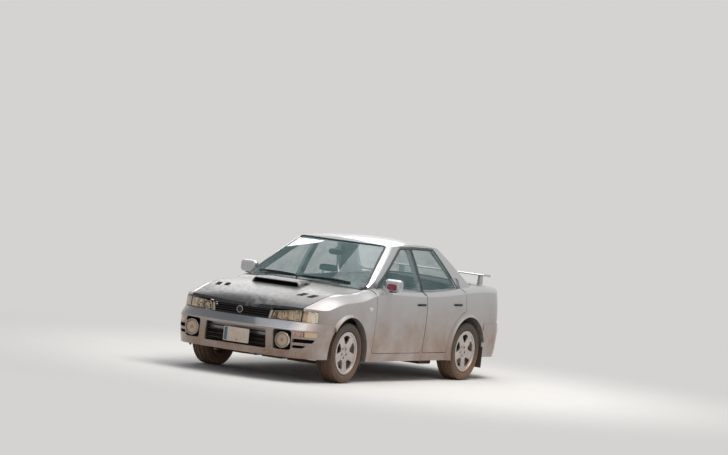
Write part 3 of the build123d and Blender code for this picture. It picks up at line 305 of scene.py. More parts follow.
def bonnet_paint():
    """Dull silver with a worn black film over the nose, and painted shade darkening it from the middle
    towards the nose.
    """
    look = Look("bonnet_film_and_shade")
    y = look.axis("Y")
    wander = look.ramp(look.noise(4, 5), 0.3, 0.7, -0.04, 0.04)
    bow = look.times(y, y, 0.26)
    edge = look.add(look.axis("X"), wander, bow, look.times(y, -0.07))
    # Worn black film on the nose, plus painted shade: a soft darkening from the middle of the bonnet towards
    # the nose
    film = look.add(look.ramp(edge, 1.86, 1.98, 0, 0.65), look.ramp(edge, 1.35, 1.9, 0, 0.35))
    worn = look.ramp(look.calc("ABSOLUTE", look.add(y, -0.16)), 0.3, 0.12)
    flakes = look.times(look.ramp(look.noise(13, 8), 0.5, 0.58), worn)
    film = look.times(film, look.ramp(flakes, 0, 1, 1, 0.6))
    grime = look.ramp(look.noise(7, 7), 0.35, 0.7, 0, 0.35)
    base = look.blend(grime, DULL_SILVER, (0.2, 0.17, 0.15))
    rough = look.ramp(look.noise(25, 5), 0.3, 0.7, 0.3, 0.48)
    look.set(Base_Color=look.blend(film, base, FILM_AND_SHADE_BLACK), Roughness=rough, Metallic=0.45)
    look.set(Coat_Weight=0.25, Coat_Roughness=0.25)
    look.bump(flakes, 0.25, 0.0004)
    return look


def plastic(name, colour=BLACK, rough=0.5, dust=0.35, top=0.9, grain=420):
    """Moulded plastic with a fine grain and some dust."""
    look = Look(name)
    varied = look.blend(look.noise(30), colour, tuple(c * 1.6 + 0.004 for c in colour))
    look.dusty(varied, rough, look.dust(top, 0.9, dust))
    look.set(Specular_IOR_Level=0.3)
    look.bump(look.noise(grain, 2), 0.12, 0.0006)
    return look


def streaked_red():
    """Worn red film with slate streaks."""
    look = Look("red_film")
    inner = look.ramp(look.axis("Y"), 0.9, 0.82, 0.25, 1)
    worn = look.times(look.ramp(look.noise(55, 5), 0.45, 0.62), inner)
    look.set(Base_Color=look.blend(worn, (0.3, 0.014, 0.024), (0.16, 0.17, 0.24)), Roughness=0.3)
    look.bump(look.noise(300, 3), 0.1, 0.0004)
    return look


def rubber(name, dust=0.55, top=0.7):
    """Rubber, matte, dusty towards the ground."""
    look = Look(name)
    varied = look.blend(look.noise(45, 5), RUBBER, (0.05, 0.046, 0.042))
    look.dusty(varied, 0.62, look.dust(top, 0.7, dust))
    look.bump(look.noise(260, 3), 0.15, 0.0006)
    return look


def metal(name, colour, rough, dust, top, rust=0, scale=35, recess=0):
    """Cast or worn metal with stains and dust; nearer to the middle than recess it also turns dust-brown and
    matte.
    """
    look = Look(name)
    stain = look.ramp(look.noise(scale, 7), 0.42, 0.68, 0, max(rust, 0.25))
    tone = look.blend(stain, colour, (0.13, 0.06, 0.03) if rust else shade(colour, 0.55))
    mask = look.dust(top, 0.6, dust)
    if recess:
        mask = look.calc("MAXIMUM", mask, look.ramp(look.off_middle(), recess, recess - 0.045, 0, 0.9))
    look.dusty(tone, rough, mask)
    look.set(Metallic=0.85)
    look.bump(look.noise(scale * 8), 0.2, 0.0008)
    return look


def chrome(name, colour=(0.82, 0.79, 0.74), rough=0.12, outer=None):
    """Bright reflector, slightly uneven; outer is its colour beyond the headlamp's divider."""
    look = Look(name)
    tone = look.blend(look.noise(40, 3), colour, shade(colour, 0.8))
    if outer:
        tone = look.blend(look.ramp(look.off_middle(), 0.644, 0.65), tone, outer)
    look.set(Base_Color=tone, Metallic=1, Roughness=rough)
    return look


def lamp_glass():
    """Clear lamp glass with upright flutes and a film of dust."""
    look = Look("lamp_lens")
    film = look.ramp(look.noise(9, 6), 0.45, 0.75, 0, 0.25)
    look.set(Base_Color=look.blend(film, (0.95, 0.9, 0.82), DUST), Transmission_Weight=1)
    look.set(Roughness=look.ramp(film, 0, 1, 0.01, 0.6), IOR=1.45)
    flutes_per_metre = 55
    look.bump(look.wave(look.axis("Y"), flutes_per_metre * 2 * pi), 0.18, 0.002)
    return look


def pane_glass():
    """Window glass: see-through with a teal tint and a clear reflection."""
    look = Look("pane_glass")
    tint = look.blend(look.noise(2, 3), (0.05, 0.15, 0.17), (0.13, 0.24, 0.24))
    look.set(Base_Color=tint, Alpha=look.ramp(look.noise(5, 6), 0.4, 0.8, 0.2, 0.36))
    look.set(Roughness=0.02, IOR=1.5, Coat_Weight=1, Coat_Roughness=0.02)
    return look


def fabric(name, colour):
    """Woven seat cloth: two crossed fine waves and a soft sheen."""
    look = Look(name)
    weave = 2080
    across = look.wave(look.axis("Y"), weave)
    along = look.wave(look.add(look.axis("X"), look.axis("Z")), weave)
    threads = look.times(across, along)
    tone = look.blend(look.noise(18, 5), colour, shade(colour, 1.7))
    tone = look.blend(look.ramp(threads, -1, 1, 0, 0.4), tone, shade(colour, 0.4))
    look.set(Base_Color=tone, Roughness=0.9, Sheen_Weight=0.25)
    look.bump(threads, 0.4, 0.0006)
    return look


def tail_lens():
    """Tail lamp: red, amber and clear bands under one ribbed lens."""
    look = Look("tail_lens")
    z = look.axis("Z")
    amber = look.band(z, 0.755, 0.757, 0.803, 0.801)
    clear = look.times(look.ramp(z, 0.757, 0.755), 0.75)
    tone = look.blend(amber, (0.36, 0.008, 0.008), (0.62, 0.2, 0.012))
    tone = look.blend(clear, tone, (0.55, 0.5, 0.48))
    look.dusty(tone, 0.12, look.dust(0.95, 0.5, 0.35))
    look.ribbed(900, 0.3)
    return look


def fog_glass():
    """Fog lens: warm, fluted, partly see-through, darker at its edge and middle."""
    look = Look("fog_lens")
    y = look.add(look.off_middle(), -FOG_CENTRE.y)
    z = look.add(look.axis("Z"), -FOG_CENTRE.z)
    radius = look.calc("SQRT", look.add(look.times(y, y), look.times(z, z)))
    tone = look.blend(look.noise(24, 5), (0.55, 0.36, 0.23), (0.85, 0.66, 0.47))
    tone = look.blend(look.ramp(radius, 0.052, 0.06, 0, 0.65), tone, (0.3, 0.18, 0.11))
    tone = look.blend(look.ramp(radius, 0.022, 0.017, 0, 0.6), tone, (0.26, 0.16, 0.1))
    look.dusty(tone, 0.1, look.dust(0.6, 0.5, 0.4))
    look.set(Transmission_Weight=0.25)
    look.ribbed(620, 0.5, 0.002)
    return look


def turn_lens():
    """Turn lamp: reddish pattern, a seal and a pale amber block in its outer third."""
    look = Look("turn_lens")
    y = look.off_middle()
    pattern = look.ramp(look.noise(70, 3), 0.4, 0.6)
    tone = look.blend(pattern, (0.33, 0.1, 0.075), (0.62, 0.42, 0.33))
    tone = look.blend(look.ramp(y, 0.716, 0.719), tone, (0.78, 0.52, 0.33))
    tone = look.blend(look.band(y, 0.708, 0.71, 0.719, 0.717), tone, (0.05, 0.03, 0.025))
    look.dusty(tone, 0.15, look.dust(0.7, 0.5, 0.35))
    look.ribbed(700, 0.3)
    return look


LOOKS = {
    "silver": silver_paint(),
    "bonnet": bonnet_paint(),
    "floor": silver_paint("floor_paint", (0.22, 0.22, 0.23), 0.2, 0.6),
    "pane": pane_glass(),
    "lens": lamp_glass(),
    "fog_lens": fog_glass(),
    "turn": turn_lens(),
    "clear": plastic("clear_lens", (0.46, 0.43, 0.38), 0.12, 0.35, 1, 500),
    "tail": tail_lens(),
    "black": plastic("black_plastic"),
    "dash": plastic("dash_plastic", (0.03, 0.031, 0.033), 0.6, 0.12, 1.2, 650),
    "satin_black": plastic("satin_black", BLACK, 0.42, 0.12),
    "grille": plastic("grille_black", (0.006, 0.006, 0.0065), 0.55, 0.12),
    "rubber": rubber("rubber"),
    "tyre": rubber("tyre_rubber", 0.85, 0.75),
    "alloy": metal("alloy", (0.62, 0.59, 0.575), 0.34, 0.6, 0.62, scale=22, recess=0.806),
    "iron": metal("iron", (0.3, 0.27, 0.25), 0.42, 0.4, 0.6, 0.5),
    "chassis": metal("chassis", (0.045, 0.043, 0.042), 0.6, 0.7, 0.8, 0.2),
    "engine": metal("engine_cast", (0.36, 0.36, 0.37), 0.5, 0.2, 0.9),
    "exhaust": metal("exhaust_steel", (0.34, 0.31, 0.28), 0.42, 0.4, 0.4, 0.6),
    "chrome": chrome("chrome"),
    "housing": chrome("lamp_housing", (0.62, 0.5, 0.4), 0.34, (0.86, 0.84, 0.8)),
    "rim": chrome("lamp_rim", (0.62, 0.58, 0.53), 0.28),
    "seat": fabric("seat_cloth", (0.03, 0.032, 0.04)),
    "seat_side": fabric("seat_bolster", (0.016, 0.016, 0.018)),
    "plate": plastic("plate_white", (0.58, 0.5, 0.43), 0.35, 0.7, 0.9, 200),
    "plate_strip": plastic("plate_strip", (0.045, 0.13, 0.17), 0.35, 0.5, 0.9, 200),
    "strip": plastic("sun_strip", (0.8, 0.82, 0.84), 0.35, 0.05, 1, 300),
    "mirror": chrome("mirror_glass", (0.85, 0.87, 0.9), 0.02),
    "dull_metal": metal("dull_metal", (0.3, 0.29, 0.28), 0.4, 0.3, 0.9, scale=60),
    "red": streaked_red(),
    # Near-black for painted shade: sheets, floors and a duct in openings that show only shade
    "painted_shade": plastic("painted_shade_black", (0.004, 0.004, 0.004), 0.85, 0, 0.9),
}

# CAD nodes by finish; * stands for left and right
NODE_FINISHES = {
    "silver": "body_side_* roof_panel front_fenders rear_panel front_bumper rear_bumper boot_lid "
              "boot_spoiler front_door_* rear_door_* door_mirror_*",
    "floor": "bulkhead floor_pan front_structure front_apron_*",
    "bonnet": "bonnet",
    "pane": "windscreen rear_window front_door_glass_* rear_door_glass_*",
    "grille": "grilles",
    "turn": "turn_lamps",
    "tail": "tail_lamps",
    "dash": "parcel_shelf dashboard steering_wheel",
    "black": "radiator fuel_tank",
    "satin_black": "wipers",
    "rubber": "mud_flaps",
    "engine": "engine driveline",
    "exhaust": "exhaust",
    "chassis": "front_subframe rear_suspension knuckle_*",
    "alloy": "wheel_front_* wheel_rear_*",
    "iron": "brake_disc_front_* brake_disc_rear_*",
}


def finish_nodes():
    """Gives every shown CAD node its material."""
    for finish, names in NODE_FINISHES.items():
        for side, _ in SIDES:
            for name in names.replace("*", side).split():
                slots = NODES[name].data.materials
                slots.clear()
                slots.append(LOOKS[finish].owner)


# Mesh helpers; a shape is a pair of vertices and faces


def mesh_of(name, shape):
    """Mesh of a shape, with double points merged and normals outward."""
    verts, faces = shape
    data = bpy.data.meshes.new(name)
    data.from_pydata([tuple(v) for v in verts], [], faces)
    made = bmesh.new()
    made.from_mesh(data)
    bmesh.ops.remove_doubles(made, verts=made.verts, dist=1e-6)
    bmesh.ops.recalc_face_normals(made, faces=made.faces)
    made.to_mesh(data)
    made.free()
    return data


def piece(name, shape, finish, body="body", smooth=True):
    """A mesh piece in the car's frame, with its material, riding on a body."""
    data = mesh_of(name, shape)
    data.materials.append(LOOKS[finish].owner)
    obj = add_object(name, data)
    if smooth:
        for poly in data.polygons:
            poly.use_smooth = True
        data.set_sharp_from_angle(angle=radians(38))
    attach(obj, body)
    return obj


def tree_of(name):
    """Search tree over one CAD node's triangles."""
    mesh = NODES[name].data
    return BVHTree.FromPolygons([v.co for v in mesh.vertices], [p.vertices for p in mesh.polygons])


def angles(count):
    """Angles evenly round a circle."""
    return [2 * pi * k / count for k in range(count)]


def circle(middle, side, other, radius, count):
    """Points round a circle in the plane of two unit vectors."""
    return [middle + (side * cos(a) + other * sin(a)) * radius for a in angles(count)]


def oblong(half_width, half_height, power):
    """Outline between an ellipse and a rectangle."""
    places = [[copysign(abs(c) ** power, c) for c in (cos(a), sin(a))] for a in angles(28)]
    return [(u * half_width, v * half_height) for u, v in places]


def round_cornered(corners, radius):
    """Outline with four round corners, from the upper right one round to the left."""
    out = []
    for (u, v), start in zip(corners, (0, 90, 180, 270)):
        middle_u = u - copysign(radius, u)
        middle_v = v - radius if start < 180 else v + radius
        for k in range(5):
            a = radians(start + 22.5 * k)
            out.append((middle_u + radius * cos(a), middle_v + radius * sin(a)))
    return out


def rings(sections, wrap=False, caps=True):
    """Skin over equal rings of points, capped at both ends or wrapped round to the first ring."""
    verts = [p for ring in sections for p in ring]
    count, rows = len(sections[0]), len(sections)
    faces = []
    for i in range(rows if wrap else rows - 1):
        a, b = i * count, (i + 1) % rows * count
        faces += [(a + j, a + (j + 1) % count, b + (j + 1) % count, b + j) for j in range(count)]
    if caps and not wrap:
        faces += [tuple(range(count))[::-1], tuple(range((rows - 1) * count, rows * count))]
    return verts, faces


def joined(shapes):
    """Several shapes as one."""
    verts, faces = [], []
    for more_verts, more_faces in shapes:
        faces += [tuple(len(verts) + i for i in face) for face in more_faces]
        verts += more_verts
    return verts, faces


def turned(profile, centre, direction, steps=48):
    """Surface turned about an axis through centre; profile is (along, radius) pairs."""
    direction = Vector(direction).normalized()
    side = direction.orthogonal().normalized()
    other = direction.cross(side)
    centre = Vector(centre)
    return rings([circle(centre + direction * at, side, other, radius, steps) for at, radius in profile])


def rounded_bar(points, radius):
    """Round bar through points, closed at both ends."""
    sections = []
    points = [Vector(p) for p in points]
    for i, p in enumerate(points):
        along = (points[min(i + 1, len(points) - 1)] - points[max(i - 1, 0)]).normalized()
        side = along.cross(Vector((0.13, 0.31, 0.94))).normalized()
        sections.append(circle(p, side, along.cross(side), radius, 10))
    return rings(sections)


def pillow(centre, along, out, half_length, half_height, depth):
    """Upright rounded oblong that bulges along out."""
    centre, out = Vector(centre), Vector(out).normalized()
    sections = []
    for k in range(6):
        t = k / 5 * pi / 2
        size, lift = max(cos(t), 0.02), sin(t) * depth
        outline = oblong(half_length * size, half_height * size, 0.6)
        sections.append([centre + along * u + UP * v + out * lift for u, v in outline])
    return rings(sections)


def laid(name, tree, corner_rows, columns, lift, finish, body="body"):
    """Thin patch on a surface: rows of (start, end) points, cast backward onto it."""
    verts, rows = [], len(corner_rows) - 1
    for j, (start, end) in enumerate(corner_rows):
        for i in range(columns + 1):
            aim = Vector(start).lerp(Vector(end), i / columns)
            hit, normal, _, _ = tree.ray_cast(aim - BACK * 2, BACK)
            normal = normal if normal.dot(BACK) < 0 else -normal
            edge = i in (0, columns) or j in (0, rows)
            verts.append(hit + normal * (lift * 0.3 if edge else lift))
    width = columns + 1
    starts = [j * width + i for j in range(rows) for i in range(columns)]
    faces = [(at, at + 1, at + width + 1, at + width) for at in starts]
    piece(name, (verts, faces), finish, body)


def outline_of(name, facing):
    """Longest outline of a node's faces that look one way: points and normals."""
    made = bmesh.new()
    made.from_mesh(NODES[name].data)
    bmesh.ops.remove_doubles(made, verts=made.verts, dist=1e-5)
    facing = Vector(facing).normalized()
    chosen = {f for f in made.faces if f.normal.dot(facing) > 0.45}
    normals, links = {}, {}
    for edge in made.edges:
        shown = [f for f in edge.link_faces if f in chosen]
        if len(shown) != 1:
            continue
        for v, w in (edge.verts, reversed(edge.verts)):
            links.setdefault(v, []).append(w)
            normals.setdefault(v, []).append(shown[0].normal.copy())
    loops, seen = [], set()
    for start in links:
        loop, current = [], start
        while current is not None and current not in seen:
            seen.add(current)
            loop.append(current)
            current = next((w for w in links[current] if w not in seen), None)
        loops.append(loop)
    longest = max(loops, key=len)
    points = [v.co.copy() for v in longest]
    outward = [sum(normals[v], Vector()).normalized() for v in longest]
    made.free()
    return points, outward


def resampled(points, normals, step):
    """A closed loop with points at an even spacing."""
    out, out_normals, carry = [], [], 0
    for i, a in enumerate(points):
        n = (i + 1) % len(points)
        length = (points[n] - a).length
        at = carry
        while at < length:
            out.append(a.lerp(points[n], at / length))
            out_normals.append(normals[i].lerp(normals[n], at / length).normalized())
            at += step
        carry = at - length
    return out, out_normals


def gasket(name, source, facing, body, width=0.016):
    """Rubber seal with rounded shoulders, just inside the edge of a pane."""
    spacing, height, inset = 0.012, 0.004, 0.006
    profile = [(-0.5, 0), (-0.42, 0.7), (-0.2, 1), (0.2, 1), (0.42, 0.7), (0.5, 0)]
    points, normals = resampled(*outline_of(source, facing), spacing)
    centre = sum(points, Vector()) / len(points)
    sections = []
    for i, (p, n) in enumerate(zip(points, normals)):
        along = (points[(i + 1) % len(points)] - points[i - 1]).normalized()
        inward = n.cross(along).normalized()
        if inward.dot(centre - p) < 0:
            inward = -inward
        p = p + inward * inset
        sections.append([p + inward * (u * width) + n * (v * height) for u, v in profile])
    return piece(name, rings(sections, wrap=True), "rubber", body)


# Stage


def stage():
    """Pale floor that fades into a pale background, and soft even light."""
    data = bpy.data.meshes.new("floor")
    data.from_pydata([(u * FLOOR_HALF, v * FLOOR_HALF, 0) for u, v in CORNERS], [], [(0, 1, 2, 3)])
    floor = add_object("floor", data)
    look = Look("floor_pale")
    look.set(Base_Color=look.blend(look.noise(1.5), (0.7, 0.68, 0.65), (0.74, 0.72, 0.69)), Roughness=0.9)
    glow = look.node("Emission", {"Color": BACKGROUND, "Strength": 1})
    distance = look.node("VectorMath", {0: look.place()}, operation="LENGTH").outputs[1]
    away = look.times(look.ramp(distance, FADE_START, FADE_END), look.seen_directly())
    mixed = look.node("MixShader", {0: away, 1: look.shader.outputs[0], 2: glow.outputs[0]})
    look.give(look.tree.nodes["Material Output"].inputs[0], mixed.outputs[0])
    data.materials.append(look.owner)
    world = bpy.data.worlds.new("studio")
    bpy.context.scene.world = world
    sky = Look("studio", world)
    seen = sky.seen_directly()
    sky.set(Color=sky.blend(seen, SKY, BACKGROUND), Strength=sky.ramp(seen, 0, 1, WORLD_LIGHT, 1))


def lamp(name, place, aim, size, power, colour=(1, 1, 1)):
    """Large soft area light."""
    data = bpy.data.lights.new(name, "AREA")
    data.size = size
    data.energy = power
    data.color = colour
    obj = add_object(name, data)
    obj.location = place
    obj.rotation_euler = (Vector(aim) - Vector(place)).to_track_quat("-Z", "Y").to_euler()


def lights():
    """Key light high on the left, one above, front fill and a rim from behind."""
    lamp("key", (-0.8, 2.4, 7), (0.3, 0.3, 0.6), 4, 340, (1, 0.98, 0.95))
    lamp("above", (0.4, 0.2, 6), (0.4, 0.1, 0.6), 5, 170)
    lamp("front_fill", (8, 3, 2.2), (1, 0, 0.5), 4, 30, (1, 0.93, 0.86))
    lamp("back_rim", (-6, -4.5, 5), (0, 0, 0.8), 4, 110)


# Front: lamps, grille and plate


def headlamp(side, sign):
    """Clear lens over a housing, with three reflector bowls and their bulbs."""
    mesh = NODES["headlamps"].data
    outward = Vector((1, 0.35 * sign, 0)).normalized()
    groups = {"lens": [], "housing": []}
    for p in mesh.polygons:
        if p.center.y * sign > 0:
            is_lens = p.normal.dot(outward) > 0.45 and p.center.x > 1.8
            groups["lens" if is_lens else "housing"].append(p)
    shells = []
    for label, polys in groups.items():
        used = sorted({v for p in polys for v in p.vertices})
        index = {v: i for i, v in enumerate(used)}
        faces = [tuple(index[v] for v in p.vertices) for p in polys]
        shell = piece(f"headlamp_{label}_{side}", ([mesh.vertices[v].co for v in used], faces), label)
        wall = shell.modifiers.new("wall", "SOLIDIFY")
        wall.thickness = 0.003
        wall.offset = -1
        shells.append(shell)
    direction = (1, 0.05 * sign, 0)
    for k, (y, r) in enumerate(HEADLAMP_BOWLS):
        front = HEADLAMP_FRONT - y * y / 3.8 - (0.03 if y < 0.64 else 0.062)
        centre = (front, sign * y, HEADLAMP_Z)
        bowl = [(-0.05, 0.008), (-0.046, r * 0.45), (-0.032, r * 0.72), (-0.012, r * 0.93), (0, r)]
        bowl += [(0, r - 0.002), (-0.012, r * 0.88), (-0.032, r * 0.66), (-0.046, r * 0.4)]
        piece(f"headlamp_bowl_{side}_{k}", turned(bowl, centre, direction, 32), "chrome")
        bulb = [(-0.045, 0.006), (-0.03, 0.007), (-0.014, 0.006), (-0.008, 0.001)]
        piece(f"headlamp_bulb_{side}_{k}", turned(bulb, centre, direction, 16), "lens")
    return shells


def fog_lamp(side, sign):
    """Bright rim, reflector and fluted lens."""
    centre = FOG_CENTRE * Vector((1, sign, 1))
    bowl = [(0, 0.05), (0.01, 0.07), (0.052, 0.0815), (0.068, 0.0815), (0.068, 0.076), (0.06, 0.074)]
    bowl += [(0.04, 0.058), (0.014, 0.03), (0.01, 0.01)]
    shell = piece(f"fog_reflector_{side}", turned(bowl, centre, AHEAD), "chrome")
    ring = [(0.048, 0.0818), (0.072, 0.0818), (0.077, 0.079), (0.0765, 0.075), (0.07, 0.0735), (0.064, 0.074)]
    piece(f"fog_ring_{side}", turned(ring, centre, AHEAD), "rim")
    face = [(0.066, 0.0735), (0.0715, 0.058), (0.0745, 0.03), (0.0755, 0.003), (0.071, 0.003), (0.07, 0.03)]
    piece(f"fog_lens_{side}", turned([*face, (0.067, 0.056)], centre, AHEAD), "fog_lens")
    return shell


def front_plate():
    """Blank plate with a plain strip at one end and a screw, on two brackets."""
    x, y, z = PLATE_PLACE
    thick = PLATE_THICKNESS
    outline = round_cornered([(u * PLATE_HALF_WIDTH, v * PLATE_HALF_HEIGHT) for u, v in CORNERS], 0.01)
    layers = [(0, 1), (thick * 0.6, 1), (thick, 0.985), (thick, 0.955), (thick * 0.75, 0.945)]
    sections = [[(x + d, y + u * s, z + v * s) for u, v in outline] for d, s in layers]
    piece("front_plate", rings(sections), "plate")
    field = x + thick * 0.75 + 0.0006
    strip = [(field, y - 0.1215 - u * 0.0175, z - v * 0.064) for u, v in CORNERS]
    piece("front_plate_strip", (strip, [(0, 1, 2, 3)]), "plate_strip", smooth=False)
    screw = [(0, 0.006), (0.002, 0.006), (0.003, 0.004), (0.003, 0.001)]
    piece("front_plate_screw", turned(screw, (field, y + 0.01, z - 0.048), AHEAD, 16), "black")
    for k, bracket_y in enumerate((-0.055, 0.105)):
        line = [(2.04, bracket_y, 0.352), (2.15, bracket_y, 0.352), (2.163, bracket_y, 0.36)]
        piece(f"plate_bracket_{k}", rounded_bar(line, 0.006), "black")


def grille_disc():
    """Plain round disc in a ring at the middle of the upper grille."""
    ring = [(0, 0.036), (0.004, 0.037), (0.007, 0.035), (0.0075, 0.029), (0.005, 0.027), (0.003, 0.0265)]
    piece("grille_ring", turned(ring, GRILLE_DISC, AHEAD, 40), "dull_metal")
    disc = [(0.001, 0.0264), (0.0045, 0.0264), (0.0055, 0.022), (0.006, 0.002)]
    piece("grille_disc", turned(disc, GRILLE_DISC, AHEAD, 40), "black")


def lamp_trims():
    """Dark divider on each headlamp, and the silver filler between lamp and grille."""
    lamps = tree_of("headlamps")
    for side, sign in SIDES:
        rows = [[(2.2, sign * y, z) for y in (0.639, 0.653)] for z in (0.6, 0.63, 0.66, 0.69, 0.709)]
        laid(f"lamp_divider_{side}", lamps, rows, 2, 0.0015, "black")
        corners = ((0.31, 0.598), (0.3345, 0.598), (0.354, 0.684), (0.326, 0.684))
        sections = []
        for x in (HEADLAMP_FRONT - 0.012, HEADLAMP_FRONT):
            sections.append([(x - (y - 0.3) * 0.17 - (z - 0.6) * 0.11, sign * y, z) for y, z in corners])
        piece(f"grille_filler_{side}", rings(sections), "silver", smooth=False)


def intake_mesh():
    """Honeycomb across the lower intake."""
    cell, thinner, depth = 0.022, 0.82, 0.004
    cells = []
    row, z = 0, INTAKE_LOW
    while z < INTAKE_HIGH:
        y = -INTAKE_HALF_WIDTH + (cell / 2 if row % 2 else 0)
        while y < INTAKE_HALF_WIDTH:
            sections = []
            for x, size in ((depth, 1), (depth, thinner), (0, thinner), (0, 1)):
                half = cell / 2 * size
                sections.append([(INTAKE_X + x, y + sin(a) * half, z + cos(a) * half) for a in angles(6)])
            cells.append(rings(sections, caps=False))
            y += cell * 0.9
        z += cell * 0.78
        row += 1
    piece("intake_mesh", joined(cells), "satin_black", smooth=False)


def backing(name, places, low, high, lean, thick):
    """Near-black sheet of painted shade through (x, y) places; lean is how far back its top stands."""
    sections = []
    for x, y in places:
        corners = ((x, low), (x - lean, high), (x - lean - thick, high), (x - thick, low))
        sections.append([(at, y, z) for at, z in corners])
    piece(name, rings(sections), "painted_shade")


def painted_shade_backings():
    """Near-black sheets of painted shade behind the fog lamps, corner slots and upper grille."""
    bumper = tree_of("front_bumper")
    for side, sign in SIDES:
        stations = [sign * (0.425 + 0.345 * k / 10) for k in range(11)]
        places = [(bumper.ray_cast(Vector((3, y, 0.3)), BACK)[0].x - 0.078, y) for y in stations]
        backing(f"fog_backing_{side}", places, 0.29, 0.512, 0, 0.003)
    stations = [-0.325 + 0.65 * k / 12 for k in range(13)]
    backing("grille_backing", [(2.028 - 0.16 * y * y / 0.65, y) for y in stations], 0.6, 0.694, 0.008, 0.002)


# Wheels


def tyre(axle, side, sign, x):
    """Tyre with grooved tread blocks, shoulder lugs and sidewall ribs."""
    half = TYRE_HALF_WIDTH
    wall = [(0.06, BEAD_RADIUS), (0.075, BEAD_RADIUS), (0.077, 0.217), (0.088, 0.2285), (0.0895, 0.2295)]
    wall += [(0.0905, 0.228), (0.1005, 0.247), (half, 0.258), (half - 0.001, 0.2705)]
    # Rows: distance from the middle, radius, groove depth, depth of the cuts between blocks
    rows = [(y, r, 0, 0) for y, r in wall] + [(half - 0.0035, 0.281, 0, 0.003)]
    for y in (0.086, 0.0705, 0.069, 0.0455, 0.044, 0.0375, 0.036, 0.0095, 0.008):
        crown = TYRE_RADIUS - 0.0035 * (y / 0.086) ** 4
        rows.append((y, crown, 0.008 if y in TREAD_GROOVES else 0, 0.007 if y > 0.044 else 0))
    profile = [(-y, *rest) for y, *rest in rows] + rows[::-1]
    sections = []
    for k, a in enumerate(angles(TREAD_PITCHES * 4)):
        ring = [(y, r - max(groove, 0 if k % 4 else cut)) for y, r, groove, cut in profile]
        sections.append([(x + r * sin(a), sign * WHEEL_Y + y, WHEEL_Z + r * cos(a)) for y, r in ring])
    obj = piece(f"tread_{axle}_{side}", rings(sections, wrap=True), "tyre", f"{axle}_wheel_{side}")
    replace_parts(obj, f"tyre_{axle}_{side}")


def wheel_trim(axle, side, sign, x):
    """Centre cap, lug nuts and valve of one wheel."""
    body = f"{axle}_wheel_{side}"
    out = ACROSS * sign
    hub = Vector((x, sign * WHEEL_Y, WHEEL_Z))
    cap = [(0.046, 0.0275), (0.06, 0.0275), (0.064, 0.024), (0.0665, 0.014), (0.067, 0.002)]
    piece(f"hub_cap_{axle}_{side}", turned(cap, hub, out, 32), "alloy", body)
    for k in range(5):
        a = radians(72 * (k + 0.5))
        at = hub + Vector((sin(a), 0, cos(a))) * LUG_CIRCLE_RADIUS
        nut = [(0.0385, 0.0095), (0.05, 0.0095), (0.053, 0.0075), (0.054, 0.002)]
        piece(f"lug_nut_{axle}_{side}_{k}", turned(nut, at, out, 6), "iron", body, smooth=False)
    valve = [(0.05, 0.004), (0.066, 0.0035), (0.07, 0.0042), (0.076, 0.0035)]
    at = hub + Vector((sin(VALVE_ANGLE), 0, cos(VALVE_ANGLE))) * VALVE_RADIUS
    piece(f"valve_{axle}_{side}", turned(valve, at, out, 10), "black", body)


# Doors, mirrors, glass and bonnet


def door_handle(door, side, sign):
    """Pull handle that stands off the door skin."""
    body = f"{door}_door_{side}"
    aim = Vector((HANDLE_X[door], sign * 1.2, HANDLE_Z))
    hit, normal, _, _ = tree_of(body).ray_cast(aim, ACROSS * -sign)
    out = normal if normal.y * sign > 0 else -normal
    half, steps, thick = 0.085, 12, 0.005
    sections = []
    for k in range(steps + 1):
        t = k / steps * 2 - 1
        lift = 0 if abs(t) > 0.97 else 0.018 * (1 - t**6)
        size = 0.013 * (1 - 0.25 * t * t)
        centre = hit + AHEAD * (t * half) + out * (lift + 0.001)
        sections.append([centre + out * (cos(a) * thick) + UP * (sin(a) * size) for a in angles(10)])
    piece(f"handle_{door}_{side}", rings(sections), "satin_black", body)


def mirror_trim(side, sign):
    """Pane and foot of a door mirror, and the left one's red patch."""
    low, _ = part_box(f"door_mirror_{side}")
    body = f"front_door_{side}"
    y, z, x = sign * MIRROR_Y, MIRROR_Z, low.x + 0.0005
    outline = oblong(0.056, 0.022, 0.55)
    sections = [[(x + d, y + u * s, z + v * s) for u, v in outline] for d, s in ((0, 1), (-0.0015, 0.96))]
    piece(f"mirror_pane_{side}", rings(sections), "mirror", body)
    foot = rounded_bar([(x, sign * y, z) for x, y, z in MIRROR_FOOT], 0.0085)
    piece(f"mirror_foot_{side}", foot, "satin_black", body)
    if side == "left":
        rows = []
        for k in range(15):
            t = k / 14
            wide = 0.05 * (1 - abs(2 * t - 1) ** 4) ** 0.5 + 0.006
            rows.append([(0.6, 0.862 + off, 0.948 + 0.066 * t) for off in (-wide, wide)])
        laid("mirror_patch", tree_of("door_mirror_left"), rows, 14, 0.0009, "red", body)


def sun_strip():
    """Plain white strip across the top corner of the windscreen."""
    rows = []
    for j in range(6):
        v = j / 5
        z0, z1 = 1.235 + 0.103 * v, 1.318 + 0.024 * v
        rows.append(((0.3, -0.499 - (1.366 - z0) * 0.479 + 0.014, z0), (0.1, -0.215 + 0.04 * v, z1)))
    laid("sun_strip", tree_of("windscreen"), rows, 20, 0.0008, "strip")


def wiper_blades():
    """Rubber blade and bow along each CAD wiper."""
    mesh = NODES["wipers"].data
    rise = Vector((0.5, 0, 0.86))
    for k, is_left in ((0, True), (1, False)):
        points = [v.co for v in mesh.vertices if (v.co.y > -0.05) == is_left and v.co.z > 0.975]
        start = min(points, key=lambda p: p.y)
        end = max(points, key=lambda p: p.y)
        for label, lift, radius in (("blade", 0.004, 0.0085), ("bow", 0.016, 0.005)):
            line = [start.lerp(end, n / 8) + rise * (lift * (1 - (n / 4 - 1) ** 4)) for n in range(9)]
            piece(f"wiper_{label}_{k}", rounded_bar(line, radius), "satin_black")


